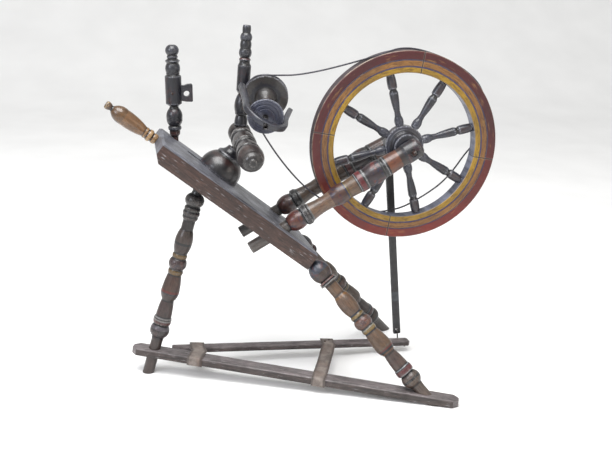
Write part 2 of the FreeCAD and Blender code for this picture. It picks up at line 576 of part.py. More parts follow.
doc.recompute()
tools = []
for foot, run, label in ((LEFT_FOOT, left_dir, "left"), (SPLAY[-1][0], front_dir, "front")):
    tools.append(rod("bar_%s_hole" % label, "Sizes.legTenon + Sizes.woodFit", "120",
                     aim(foot.sub(Vec(run).multiply(20)), run)))
keep(cut("front_bar", bar_body, tools), "front_bar")

# Leather loops round the front bar.
for label, place, wide_name in (("strap_loop", "strapOnBar", "strapWide"), ("wrap_loop", "wrapOnBar", "wrapWide")):
    middle = bar_along(V[place])
    outer = block(label + "_outer", "Sizes." + wide_name,
                  "Sizes.barWide + 2 * Sizes.leatherThick + 2 * Sizes.woodFit",
                  "Sizes.barThick + 2 * Sizes.leatherThick + 2 * Sizes.woodFit",
                  BAR.multiply(FreeCAD.Placement(Vec(
                      middle - V[wide_name] / 2, -V["barWide"] / 2 - V["leatherThick"] - V["woodFit"],
                      -V["barThick"] / 2 - V["leatherThick"] - V["woodFit"]), FreeCAD.Rotation())))
    inner = block(label + "_inner", "Sizes." + wide_name + " + 20", "Sizes.barWide + 2 * Sizes.woodFit",
                  "Sizes.barThick + 2 * Sizes.woodFit",
                  BAR.multiply(FreeCAD.Placement(Vec(
                      middle - V[wide_name] / 2 - 10, -V["barWide"] / 2 - V["woodFit"],
                      -V["barThick"] / 2 - V["woodFit"]), FreeCAD.Rotation())))
    keep(cut(label, outer, [inner]), label)

# Drive wheel: axle with crank.
WHEEL = at(0, 0, V["wheelHeight"])
ACROSS = FreeCAD.Rotation(Vec(1, 0, 0), -90)
crank_y = V["postSpread"] + V["postHeadRadius"] + V["crankGap"]
crank = math.radians(V["crankAngle"])
PIN = WHEEL.add(Vec(V["crankReach"] * math.cos(crank), 0, V["crankReach"] * math.sin(crank)))
write_size("axleLength", V["axleNear"] + crank_y + V["crankThick"])
axle_rod = rod("axle_rod", "Sizes.axleRadius", "Sizes.axleLength",
               FreeCAD.Placement(WHEEL.sub(Vec(0, V["axleNear"], 0)), ACROSS))
arm_root = FreeCAD.Placement(WHEEL.add(Vec(0, crank_y, 0)), FreeCAD.Rotation(Vec(0, 1, 0), -V["crankAngle"]))
crank_arm = block("crank_arm", "Sizes.crankReach", "Sizes.crankThick", "Sizes.crankWide",
                  arm_root.multiply(FreeCAD.Placement(Vec(0, 0, -V["crankWide"] / 2), FreeCAD.Rotation())))
crank_eye = rod("crank_eye", "Sizes.crankWide / 2", "Sizes.crankThick",
                FreeCAD.Placement(PIN.add(Vec(0, crank_y, 0)), ACROSS))
crank_heel = rod("crank_heel", "Sizes.crankWide / 2 + 2", "Sizes.crankThick",
                 FreeCAD.Placement(WHEEL.add(Vec(0, crank_y, 0)), ACROSS))
crank_pin = rod("crank_pin", "Sizes.crankPin", "Sizes.crankThick + Sizes.crankPinLength",
                FreeCAD.Placement(PIN.add(Vec(0, crank_y, 0)), ACROSS))
keep(fuse("axle", [axle_rod, crank_arm, crank_eye, crank_heel, crank_pin]), "axle")

# Hub.
hub_half = V["hubDrum"] / 2 + V["hubBossLength"] + V["hubEndLength"]
hub_steps = [("hubEndLength", "hubBoss", ""), ("hubBossLength", "hubBoss", ""), ("hubStep", "hubRadius", "")]
write_size("hubRim", V["hubDrum"] - 2 * V["hubStep"])
hub_body = turned(
    "hub", "hubEnd", hub_steps + [("hubRim", "hubRadius", ""), ("hubStep", "hubBoss", ""),
                                  ("hubBossLength", "hubBoss", ""), ("hubEndLength", "hubEnd", "")],
    FreeCAD.Placement(WHEEL.sub(Vec(0, hub_half, 0)), ACROSS))
hub_tools = [rod("hub_bore", "Sizes.axleRadius + Sizes.woodFit", "200",
                 FreeCAD.Placement(WHEEL.sub(Vec(0, 100, 0)), ACROSS))]
SPOKES = int(V["spokeCount"])
spoke_frames = []
for i in range(SPOKES):
    angle = math.radians(V["spokeStart"] + i * 360.0 / SPOKES)
    run = Vec(math.cos(angle), 0, math.sin(angle))
    spoke_frames.append((run, aim(WHEEL.add(Vec(run).multiply(V["hubRadius"] - V["spokeTenonIn"])), run)))
    hub_tools.append(rod("hub_mortise_%d" % (i + 1), "Sizes.spokeTenon + Sizes.woodFit",
                         "Sizes.spokeTenonIn + Sizes.seatGap + 10",
                         aim(WHEEL.add(Vec(run).multiply(V["hubRadius"] - V["spokeTenonIn"] - V["seatGap"])), run)))
keep(cut("hub", hub_body, hub_tools), "hub")

# Spokes.
write_size("spokeShoulder", 0.4)
write_size("spokeReach", V["rimInner"] - V["hubRadius"] - length_of("spoke") - V["spokeShoulder"] * 2
           + V["spokeTenonOut"])
for i, (run, place) in enumerate(spoke_frames, 1):
    body = turned("spoke_%d" % i, "spokeTenon",
                  [("spokeTenonIn", "spokeTenon", ""), ("spokeShoulder", "spokeStartRadius", "")]
                  + steps_of("spoke") + [("spokeShoulder", "spokeTenon", ""), ("spokeReach", "spokeTenon", "")],
                  place)
    keep(body, "spoke_%d" % i)

# Felloes.
FELLOES = int(V["felloeCount"])
rim, inner, halfw, ease = V["rimRadius"], V["rimInner"], V["rimWidth"] / 2, V["rimEase"]
gw, gd = V["rimGrooveWidth"] / 2, V["rimGrooveDepth"]
lo, li, lh, ld = V["rimLineOuter"], V["rimLineInner"], V["rimLineHalf"], V["rimLineDepth"]
S = "Sizes."
rim_points = [
    (inner, -halfw + ease, S + "rimInner", S + "rimEase - Sizes.rimWidth / 2"),
    (inner + ease, -halfw, S + "rimInner + Sizes.rimEase", "-Sizes.rimWidth / 2"),
    (li - lh, -halfw, S + "rimLineInner - Sizes.rimLineHalf", "-Sizes.rimWidth / 2"),
    (li, -halfw + ld, S + "rimLineInner", S + "rimLineDepth - Sizes.rimWidth / 2"),
    (li + lh, -halfw, S + "rimLineInner + Sizes.rimLineHalf", "-Sizes.rimWidth / 2"),
    (lo - lh, -halfw, S + "rimLineOuter - Sizes.rimLineHalf", "-Sizes.rimWidth / 2"),
    (lo, -halfw + ld, S + "rimLineOuter", S + "rimLineDepth - Sizes.rimWidth / 2"),
    (lo + lh, -halfw, S + "rimLineOuter + Sizes.rimLineHalf", "-Sizes.rimWidth / 2"),
    (rim - ease, -halfw, S + "rimRadius - Sizes.rimEase", "-Sizes.rimWidth / 2"),
    (rim, -halfw + ease, S + "rimRadius", S + "rimEase - Sizes.rimWidth / 2"),
    (rim, -gw, S + "rimRadius", "-Sizes.rimGrooveWidth / 2"),
    (rim - gd, 0.0, S + "rimRadius - Sizes.rimGrooveDepth", ""),
    (rim, gw, S + "rimRadius", S + "rimGrooveWidth / 2"),
    (rim, halfw - ease, S + "rimRadius", S + "rimWidth / 2 - Sizes.rimEase"),
    (rim - ease, halfw, S + "rimRadius - Sizes.rimEase", S + "rimWidth / 2"),
    (inner, halfw, S + "rimInner", S + "rimWidth / 2"),
]
for i in range(FELLOES):
    label = "felloe_%d" % (i + 1)
    body = doc.addObject("PartDesign::Body", label + "_ring")
    section = outline(body, label + "_section", "XZ_Plane", [p[:2] for p in rim_points], [p[2:] for p in rim_points])
    turn = body.newObject("PartDesign::Revolution", "Bend")
    turn.Profile = section
    turn.ReferenceAxis = (section, ["V_Axis"])
    turn.setExpression("Angle", "360 / Sizes.felloeCount - Sizes.felloeGap")
    section.Visibility = False
    start = V["felloeStart"] + i * 360.0 / FELLOES
    # The ring's own Z axis lies along the axle, so that its X axis points to the joint at the start angle.
    x_axis = Vec(math.cos(math.radians(start)), 0, math.sin(math.radians(start)))
    z_axis = Vec(0, 1, 0)
    y_axis = z_axis.cross(x_axis)
    body.Placement = FreeCAD.Placement(WHEEL, FreeCAD.Rotation(x_axis, y_axis, z_axis, "ZXY"))
    tools = []
    for k, (run, _) in enumerate(spoke_frames):
        angle = V["spokeStart"] + k * 360.0 / SPOKES
        back = (start - angle) % 360.0
        if back < 360.0 / FELLOES:
            tools.append(rod("%s_mortise_%d" % (label, k), "Sizes.spokeTenon + Sizes.woodFit",
                             "Sizes.spokeTenonOut + Sizes.seatGap + 10",
                             aim(WHEEL.add(Vec(run).multiply(V["rimInner"] - 10)), run)))
    keep(cut(label, body, tools), label)

# Footman with its leather tie and wire hook.
FY = V["footmanSide"]
pin_y = Vec(0, 1, 0)
bottom = at(V["footmanBottomX"], FY, V["footmanBottomZ"])
pin_at = Vec(PIN.x, FY - V["originY"], PIN.z)
hang = bottom.sub(pin_at)
hang_length = hang.Length
HANG = Vec(hang).normalize()
FOOTMAN = aim(pin_at, HANG)
write_size("stickLength", hang_length - V["tieLength"])
stick = block("footman_stick_solid", "Sizes.footmanWide", "Sizes.footmanThick", "Sizes.stickLength",
              FOOTMAN.multiply(FreeCAD.Placement(
                  Vec(-V["footmanWide"] / 2, -V["footmanThick"] / 2, V["tieLength"]), FreeCAD.Rotation())))
stick_hole = rod("footman_hook_hole", "Sizes.hookHole", "4 * Sizes.footmanThick",
                 FOOTMAN.multiply(FreeCAD.Placement(
                     Vec(0, -2 * V["footmanThick"], hang_length - V["hookSeat"] + V["hookDrop"]),
                     FreeCAD.Rotation(Vec(1, 0, 0), -90))))
keep(cut("footman_stick_cut", stick, [stick_hole]), "footman_stick")
tie_eye = rod("tie_eye", "Sizes.crankPin + Sizes.tieWall", "Sizes.tieThick",
              FreeCAD.Placement(pin_at.sub(Vec(0, V["tieThick"] / 2, 0)), ACROSS))
tie_strap = block("tie_strap", "Sizes.tieWide", "Sizes.tieThick", "Sizes.tieLength",
                  FOOTMAN.multiply(FreeCAD.Placement(
                      Vec(-V["tieWide"] / 2, -V["tieThick"] / 2, 0), FreeCAD.Rotation())))
tie = fuse("tie_solid", [tie_eye, tie_strap])
tie_bore = rod("tie_bore", "Sizes.crankPin + Sizes.runFit", "40",
               FreeCAD.Placement(pin_at.sub(Vec(0, 20, 0)), ACROSS))
keep(cut("footman_tie", tie, [tie_bore]), "footman_tie")


def bent_wire(label, role, pieces, radius):
    """Round wire swept along lines and arcs that start at the body's origin and set out along its Z axis."""
    body = doc.addObject("PartDesign::Body", label)
    spine = new_sketch(body, label + "_path", role)
    for piece in pieces:
        spine.addGeometry(piece, False)
    ring = new_sketch(body, label + "_section", "XY_Plane")
    ring.addGeometry(Part.Circle(Vec(0, 0, 0), Vec(0, 0, 1), V[radius]), False)
    ring.addConstraint(Sketcher.Constraint("Coincident", 0, 3, -1, 1))
    number = ring.addConstraint(Sketcher.Constraint("Radius", 0, V[radius]))
    ring.renameConstraint(number, "Wire")
    ring.setExpression("Constraints.Wire", "Sizes." + radius)
    sweep = body.newObject("PartDesign::AdditivePipe", label + "_sweep")
    sweep.Profile = ring
    sweep.Spine = (spine, [])
    return body


def arc_about(x, y, radius, start, end):
    """Arc of a circle in a sketch, from one angle in degrees to a larger one."""
    circle = Part.Circle(Vec(x, y, 0), Vec(0, 0, 1), radius)
    return Part.ArcOfCircle(circle, math.radians(start), math.radians(end))


# The wire goes through the stick, down its near face and ends in an open bend beside the treadle arm.
bend, corner = V["hookBend"], V["hookTurn"]
straight = V["hookLength"] + V["hookSeat"] - corner
hook_body = bent_wire(
    "footman_hook", "YZ_Plane",
    [arc_about(-bend, 0, bend, 0, 180),
     Part.LineSegment(Vec(-2 * bend, 0, 0), Vec(-2 * bend, -straight, 0)),
     arc_about(-2 * bend + corner, -straight, corner, 180, 270),
     Part.LineSegment(Vec(-2 * bend + corner, -straight - corner, 0),
                      Vec(-2 * bend + corner + V["hookTail"], -straight - corner, 0))],
    "hookWire")
write_size("hookFront", -(V["footmanThick"] / 2 + V["hookWire"] + V["woodFit"]))
hook_body.Placement = FOOTMAN.multiply(FreeCAD.Placement(
    Vec(0, V["hookFront"] + 2 * bend, hang_length + V["hookLength"]), FreeCAD.Rotation()))
keep(hook_body, "footman_hook")

# Mother of all: collar, block in the slot, bar.
SEAT = on_table(V["motherAlong"], V["screwSide"], -V["runFit"])
BAR_CENTRE = SEAT.add(Vec(OUT).multiply(V["barAbove"]))
droop = math.radians(V["barDroop"])
BAR_DIR = Vec(0, -math.cos(droop), -math.sin(droop))
FAR_END = BAR_CENTRE.add(Vec(BAR_DIR).multiply((V["screwSide"] - V["barFar"]) / math.cos(droop)))
collar = turned("collar", "collarStartRadius",
                steps_of("collar") + [("spokeShoulder", "collarTenon", ""), ("collarTenonLength", "collarTenon", "")],
                aim(SEAT, OUT))
doc.recompute()
MOTHER = aim(FAR_END, BAR_DIR, OUT)
mother = turned("mother_bar", "motherStartRadius", steps_of("mother"), MOTHER)
collar_hole = rod("collar_tenon_hole", "Sizes.collarTenon + Sizes.woodFit",
                  "Sizes.collarTenonLength + Sizes.spokeShoulder + Sizes.seatGap + 20",
                  aim(SEAT.add(Vec(OUT).multiply(length_of("collar") - 20)), OUT))
MAIDEN_AT = BAR_CENTRE.add(Vec(BAR_DIR).multiply((V["screwSide"] - V["maidenSide"]) / math.cos(droop)))
lean = math.radians(V["maidenLean"])
MAIDEN_DIR = Vec(math.sin(lean), 0, math.cos(lean))
maiden_hole = rod("maiden_tenon_hole", "Sizes.maidenTenon + Sizes.woodFit", "80", aim(MAIDEN_AT, MAIDEN_DIR))
write_size("maidenRise", 22.5)
maiden_flat = rod("maiden_seat_flat", "Sizes.maidenStartRadius + 1", "40",
                  aim(MAIDEN_AT.add(Vec(MAIDEN_DIR).multiply(V["maidenRise"])), MAIDEN_DIR))
keep(collar, "collar")
keep(cut("mother_bar_cut", mother, [collar_hole, maiden_hole, maiden_flat]), "mother_bar")
nut = block("slide_block_solid", "Sizes.blockLength", "Sizes.slotWidth - 2 * Sizes.motherSlotPlay",
            "Sizes.tableThick",
            TABLE.multiply(FreeCAD.Placement(
                Vec(V["motherAlong"] - V["blockLength"] / 2,
                    V["screwSide"] - V["slotWidth"] / 2 + V["motherSlotPlay"], -V["tableThick"]),
                FreeCAD.Rotation())))
nut_hole = rod("nut_hole", "Sizes.screwRadius + Sizes.runFit", "300",
               aim(on_table(20, V["screwSide"], V["screwDepth"]), DOWN))
keep(cut("slide_block", nut, [nut_hole]), "slide_block")

# Rear maiden and the bearing that it carries.
maiden_start = MAIDEN_AT.add(Vec(MAIDEN_DIR).multiply(V["maidenRise"] - V["maidenTenonLength"]))
maiden = turned("rear_maiden_turned", "maidenTenon",
                [("maidenTenonLength", "maidenTenon", ""), ("spokeShoulder", "maidenStartRadius", "")]
                + steps_of("maiden"), aim(maiden_start, MAIDEN_DIR))
AXIS = Vec(V["axisX"], V["axisY"], V["axisZ"]).normalize()
WHORL = at(V["whorlX"], V["whorlY"], V["whorlZ"])
reach_back = (V["maidenSide"] - V["whorlY"]) / -AXIS.y
BEARING = WHORL.sub(Vec(AXIS).multiply(reach_back))
rise = (BEARING.z - MAIDEN_AT.z) / MAIDEN_DIR.z
MAIDEN_MEET = MAIDEN_AT.add(Vec(MAIDEN_DIR).multiply(rise))
side_run = BEARING.sub(MAIDEN_MEET)
side_length = side_run.Length
side_dir = Vec(side_run).normalize()
bearing_z = Vec(AXIS).negative()
bearing_x = Vec(side_dir).sub(Vec(bearing_z).multiply(side_dir.dot(bearing_z))).normalize()
BEAR = FreeCAD.Placement(BEARING, FreeCAD.Rotation(bearing_x, bearing_z.cross(bearing_x), bearing_z, "ZXY"))
write_size("bearingLength", side_length - V["maidenDrumRadius"] - 1.0 + V["bearingPast"])
tab_plate = block("bearing_plate", "Sizes.bearingLength", "Sizes.bearingHigh", "Sizes.bearingThick",
                  BEAR.multiply(FreeCAD.Placement(
                      Vec(V["bearingPast"] - V["bearingLength"], -V["bearingHigh"] / 2, -V["bearingThick"] / 2),
                      FreeCAD.Rotation())))
tab_tenon = rod("bearing_tenon", "Sizes.bearingTenon", "Sizes.bearingTenonLength + 8",
                aim(MAIDEN_MEET.add(Vec(side_dir).multiply(V["maidenDrumRadius"] - V["bearingTenonLength"] + 4)),
                    side_dir))
plate = fuse("bearing_solid", [tab_plate, tab_tenon])
spindle_hole = rod("bearing_bore", "Sizes.spindleRadius + Sizes.runFit", "60",
                   aim(BEARING.sub(Vec(AXIS).multiply(30)), AXIS))
keep(cut("rear_bearing", plate, [spindle_hole]), "rear_bearing")
tenon_hole = rod("maiden_bearing_hole", "Sizes.bearingTenon + Sizes.woodFit", "60",
                 aim(MAIDEN_MEET.add(Vec(side_dir).multiply(
                     V["maidenDrumRadius"] - V["bearingTenonLength"] + 4 - V["seatGap"])), side_dir))
keep(cut("rear_maiden", maiden, [tenon_hole]), "rear_maiden")

# Bobbin: core, front flange and whorl on the spindle.
BOB = aim(WHORL, AXIS)
half_whorl = V["whorlWide"] / 2
bob_bore = rod("bobbin_bore", "Sizes.spindleRadius + 2 * Sizes.runFit", "400",
               BOB.multiply(FreeCAD.Placement(Vec(0, 0, -150), FreeCAD.Rotation())))
write_size("whorlSide", V["whorlWide"] / 2 - V["whorlLip"])
write_size("whorlFloor", V["whorlRadius"] - V["whorlGroove"])
whorl_body = turned("whorl_turned", "neckRadius",
                    [("whorlLip", "whorlRadius", ""), ("whorlSide", "whorlFloor", ""),
                     ("whorlSide", "whorlRadius", ""), ("whorlLip", "whorlRadius", ""),
                     ("whorlLip", "neckRadius", ""), ("neckLength", "coreRadius", "")],
                    BOB.multiply(FreeCAD.Placement(Vec(0, 0, -half_whorl), FreeCAD.Rotation())))
keep(cut("whorl", whorl_body, [bob_bore]), "whorl")
core_start = half_whorl + V["whorlLip"] + V["neckLength"]
write_size("coreLength", V["flangeReach"] - core_start - V["flangeThick"] / 2)
core = rod("bobbin_core_rod", "Sizes.coreRadius", "Sizes.coreLength",
           BOB.multiply(FreeCAD.Placement(Vec(0, 0, core_start), FreeCAD.Rotation())))
keep(cut("bobbin_core", core, [bob_bore]), "bobbin_core")
flange = rod("bobbin_flange_disc", "Sizes.flangeRadius", "Sizes.flangeThick",
             BOB.multiply(FreeCAD.Placement(Vec(0, 0, V["flangeReach"] - V["flangeThick"] / 2),
                                            FreeCAD.Rotation())))
flange_cut = cut("bobbin_flange", flange, [bob_bore])
keep(flange_cut, "bobbin_flange")

# Flyer: spindle with its orifice, wooden fork and wire hooks.
ORIFICE = WHORL.add(Vec(AXIS).multiply(V["orificeReach"]))
write_size("spindleLength", V["orificeReach"] + V["spindleBack"])
spin_rod = rod("spindle_rod", "Sizes.spindleRadius", "Sizes.spindleLength - Sizes.orificeLength / 2",
               BOB.multiply(FreeCAD.Placement(Vec(0, 0, -V["spindleBack"]), FreeCAD.Rotation())))
spin_eye = rod("spindle_orifice", "Sizes.orificeRadius", "Sizes.orificeLength",
               aim(ORIFICE.sub(Vec(AXIS).multiply(V["orificeLength"])), AXIS))
spindle = fuse("spindle_solid", [spin_rod, spin_eye])
eye_bore = rod("orifice_bore", "Sizes.orificeBore", "Sizes.orificeLength",
               aim(ORIFICE.sub(Vec(AXIS).multiply(V["orificeDepth"])), AXIS))
keep(cut("flyer_spindle", spindle, [eye_bore]), "flyer_spindle")
roll = math.radians(V["flyerRoll"])
level = Vec(0, 0, 1).cross(AXIS).normalize()
upward = Vec(AXIS).cross(level).normalize()
FLY_X = Vec(level).multiply(math.cos(roll)).add(Vec(upward).multiply(math.sin(roll)))
FLY_Z = Vec(AXIS).negative()
FLY_Y = FLY_Z.cross(FLY_X)
FLYER = FreeCAD.Placement(ORIFICE, FreeCAD.Rotation(FLY_X, FLY_Y, FLY_Z, "ZXY"))
fork = doc.addObject("PartDesign::Body", "flyer_fork_plank")
arm = V["flyerArm"]
side_points = [
    (V["flyerNoseHalf"], V["flyerNose"], "Sizes.flyerNoseHalf", "Sizes.flyerNose"),
    (V["flyerShoulder"], V["flyerNose"] + 16, "Sizes.flyerShoulder", "Sizes.flyerNose + 16"),
    (V["flyerWaist"] + arm / 2 - 1, V["flyerWaistBack"], "Sizes.flyerWaist + Sizes.flyerArm / 2 - 1",
     "Sizes.flyerWaistBack"),
    (V["flyerMid"], V["flyerMidBack"], "Sizes.flyerMid", "Sizes.flyerMidBack"),
    (V["flyerTip"] + arm / 2, V["flyerBack"], "Sizes.flyerTip + Sizes.flyerArm / 2", "Sizes.flyerBack"),
    (V["flyerTip"] - arm / 2, V["flyerBack"], "Sizes.flyerTip - Sizes.flyerArm / 2", "Sizes.flyerBack"),
    (V["flyerMid"] - arm, V["flyerMidBack"], "Sizes.flyerMid - Sizes.flyerArm", "Sizes.flyerMidBack"),
    (V["flyerWaist"] - arm / 2, V["flyerWaistBack"], "Sizes.flyerWaist - Sizes.flyerArm / 2",
     "Sizes.flyerWaistBack"),
    (V["flyerShoulder"] - 4, V["flyerThroat"] - 6, "Sizes.flyerShoulder - 4", "Sizes.flyerThroat - 6"),
    (V["flyerNoseHalf"] - 1, V["flyerThroat"] - 12, "Sizes.flyerNoseHalf - 1", "Sizes.flyerThroat - 12"),
]
both = [p[:2] for p in side_points] + [(-p[0], p[1]) for p in reversed(side_points)]
link_list = [p[2:] for p in side_points] + [("-(%s)" % p[2], p[3]) for p in reversed(side_points)]
fork_out = outline(fork, "fork_outline", "XZ_Plane", both, link_list)
pad(fork, fork_out, "ForkPad", "Sizes.flyerThick", midplane=True)
fork.Placement = FLYER
fork_bore = rod("fork_bore", "Sizes.spindleRadius + Sizes.woodFit", "200",
                FLYER.multiply(FreeCAD.Placement(Vec(0, 0, -20), FreeCAD.Rotation())))
fork_seat = rod("fork_seat", "Sizes.orificeRadius + Sizes.woodFit", "Sizes.orificeLength + Sizes.woodFit",
                FLYER.multiply(FreeCAD.Placement(Vec(0, 0, 0), FreeCAD.Rotation())))
hook_tools = []
hook_rods = []
for i in range(int(V["hookCount"])):
    back = V["hookFirst"] + i * V["hookPitch"]
    middle = V["flyerMid"] - arm / 2 + (V["flyerTip"] - V["flyerMid"] + arm / 2) * (
        (back - V["flyerMidBack"]) / (V["flyerBack"] - V["flyerMidBack"]))
    if back < V["flyerMidBack"]:
        middle = V["flyerWaist"] + (V["flyerMid"] - arm / 2 - V["flyerWaist"]) * (
            (back - V["flyerWaistBack"]) / (V["flyerMidBack"] - V["flyerWaistBack"]))
    for sign in (-1, 1):
        if sign > 0 and i != int(V["hookCount"]) - 1:
            continue
        base = FLYER.multiply(FreeCAD.Placement(
            Vec(sign * middle, V["flyerThick"] / 2 - V["hookRoot"], back), FreeCAD.Rotation(Vec(1, 0, 0), -90)))
        rise = V["hookRoot"] + V["hookReach"]
        curl = arc_about(V["hookCurl"], rise, V["hookCurl"], 30, 180) if sign < 0 else (
            arc_about(-V["hookCurl"], rise, V["hookCurl"], 0, 150))
        hook = bent_wire("hook_%d_%d" % (i, sign > 0), "XZ_Plane",
                         [Part.LineSegment(Vec(0, 0, 0), Vec(0, rise, 0)), curl], "hookWireRadius")
        hook.Placement = base
        hook_rods.append(hook)
        hook_tools.append(rod("hook_hole_%d_%d" % (i, sign > 0), "Sizes.hookWireRadius + Sizes.woodFit",
                              "Sizes.hookRoot + 10",
                              base.multiply(FreeCAD.Placement(Vec(0, 0, -V["woodFit"]), FreeCAD.Rotation()))))
keep(cut("flyer_fork_cut", fork, [fork_bore, fork_seat] + hook_tools), "flyer_fork")
hooks = doc.addObject("Part::Compound", "flyer_hooks")
hooks.Links = hook_rods
keep(hooks, "flyer_hooks")

# Tension screw and its handle.
SCREW = aim(on_table(V["screwReach"], V["screwSide"], V["screwDepth"]), Vec(DOWN).negative())
write_size("screwLength", V["screwReach"] + V["seatGap"])
screw_shaft = rod("tension_screw", "Sizes.screwRadius", "Sizes.screwLength", SCREW)
keep(screw_shaft, "tension_screw")
handle = turned("screw_handle", "handleStartRadius", steps_of("handle"),
                SCREW.multiply(FreeCAD.Placement(Vec(0, 0, V["screwLength"]), FreeCAD.Rotation())))
keep(handle, "screw_handle")

# Treadle arm with its leather tongues.
ARM_A = at(V["armLeftX"], V["armLeftY"], V["armLeftZ"])
ARM_B = at(V["armRightX"], V["armRightY"], V["armRightZ"])
arm_run = ARM_B.sub(ARM_A)
ARM_LENGTH = arm_run.Length
ARM_X = Vec(arm_run).normalize()
ARM_Y = Vec(0, 0, 1).cross(ARM_X).normalize()
ARM_Z = ARM_X.cross(ARM_Y)
ARM = FreeCAD.Placement(ARM_A, FreeCAD.Rotation(ARM_X, ARM_Y, ARM_Z, "XYZ"))
write_size("armLength", ARM_LENGTH)
arm_body = doc.addObject("PartDesign::Body", "treadle_plank")
w = V["armWide"] / 2
arm_out = outline(
    arm_body, "arm_outline", "XY_Plane",
    [(0, w - 6), (V["armPoint"], -w), (ARM_LENGTH - 5, -w), (ARM_LENGTH, -w + 5), (ARM_LENGTH, w - 5),
     (ARM_LENGTH - 5, w), (0, w)],
    [("", "Sizes.armWide / 2 - 6"), ("Sizes.armPoint", "-Sizes.armWide / 2"),
     ("Sizes.armLength - 5", "-Sizes.armWide / 2"), ("Sizes.armLength", "5 - Sizes.armWide / 2"),
     ("Sizes.armLength", "Sizes.armWide / 2 - 5"), ("Sizes.armLength - 5", "Sizes.armWide / 2"),
     ("", "Sizes.armWide / 2")])
pad(arm_body, arm_out, "ArmPad", "Sizes.armThick", midplane=True)
arm_body.Placement = ARM


def tongue(label, on_bar, on_arm, wide_name):
    """Flat leather strip from the bar's back edge over the top of the treadle arm."""
    start_at = BAR.multVec(Vec(bar_along(V[on_bar]), V["barWide"] / 2 + V["leatherThick"] + V["tongueGap"],
                               V["barThick"] / 2 - V["leatherThick"] / 2))
    along = (on_arm - V["originX"] - ARM_A.x) / ARM_X.x
    top_at = ARM.multVec(Vec(along, V["armWide"] / 2, V["armThick"] / 2 + V["leatherThick"] / 2))
    return start_at, top_at, along


strips = {}
for label, on_bar, on_arm, wide_name in (
        ("strap_tongue", "strapOnBar", V["strapOnArm"], "strapWide"),
        ("wrap_tongue", "wrapOnBar", V["wrapOnBar"] + 4, "wrapWide")):
    start_at, top_at, along = tongue(label, on_bar, on_arm, wide_name)
    near_at = ARM.multVec(Vec(along, -V["armWide"] / 2 - 1, V["armThick"] / 2 + V["leatherThick"] / 2 + 0.02))
    over_at = ARM.multVec(Vec(along + 4, V["armWide"] / 2 + 3, V["armThick"] / 2 + V["leatherThick"] / 2 + 0.02))
    half_wide = V[wide_name] / 2
    faces = []
    for point, across in ((start_at, BAR_X), (near_at, ARM_X), (over_at, ARM_X)):
        lift = Vec(0, 0, V["leatherThick"] / 2)
        side_vec = Vec(across).multiply(half_wide)
        corners = [point.sub(side_vec).sub(lift), point.add(side_vec).sub(lift), point.add(side_vec).add(lift),
                   point.sub(side_vec).add(lift)]
        faces.append(Part.makePolygon(corners + [corners[0]]))
    strip = doc.addObject("Part::Feature", label)
    first = Part.makeLoft(faces[:2], True, True)
    second = Part.makeLoft(faces[1:], True, True)
    strip.Shape = first.fuse(second)
    strips[label] = (strip, along, near_at)
    keep(strip, label)
nail_tools = []
nails = []
for i, offset in enumerate((-6.0, 8.0)):
    strip, along, near_at = strips["strap_tongue"]
    base = ARM.multiply(FreeCAD.Placement(
        Vec(along + offset, -2.0 + 8.0 * i, V["armThick"] / 2 + V["leatherThick"] + 0.05), FreeCAD.Rotation()))
    head = rod("nail_head_%d" % i, "Sizes.nailHead", "Sizes.nailHeadHigh", base)
    shank = rod("nail_shank_%d" % i, "Sizes.nailShank", "Sizes.nailLength",
                base.multiply(FreeCAD.Placement(Vec(0, 0, -V["nailLength"] + 0.5), FreeCAD.Rotation())))
    nails.append(fuse("nail_%d" % i, [head, shank]))
    nail_tools.append(rod("nail_hole_%d" % i, "Sizes.nailShank + Sizes.woodFit", "Sizes.nailLength + 6",
                          base.multiply(FreeCAD.Placement(Vec(0, 0, -V["nailLength"] + 0.4), FreeCAD.Rotation()))))
strap_cut = cut("strap_tongue_cut", strips["strap_tongue"][0], nail_tools)
NODES.remove(strips["strap_tongue"][0])
strips["strap_tongue"][0].Label = "strap_tongue_strip"
keep(strap_cut, "strap_tongue")
nail_pair = doc.addObject("Part::Compound", "treadle_nails")
nail_pair.Links = nails
keep(nail_pair, "treadle_nails")
peg_place = ARM.multiply(FreeCAD.Placement(
    Vec(ARM_LENGTH - V["pegBack"] + 12, -V["pegLength"] / 2, -V["armThick"] / 2 - V["pegRadius"]),
    FreeCAD.Rotation(Vec(1, 0, 0), -90)))
peg_hole = rod("peg_groove", "Sizes.pegRadius + Sizes.woodFit", "Sizes.pegLength + 2",
               peg_place.multiply(FreeCAD.Placement(Vec(0, -1.5, -1), FreeCAD.Rotation())))
peg = rod("treadle_peg", "Sizes.pegRadius", "Sizes.pegLength",
          peg_place.multiply(FreeCAD.Placement(Vec(0, -1.5, 0), FreeCAD.Rotation())))
keep(cut("treadle_arm", arm_body, [peg_hole] + nail_tools), "treadle_arm")
keep(peg, "treadle_peg")

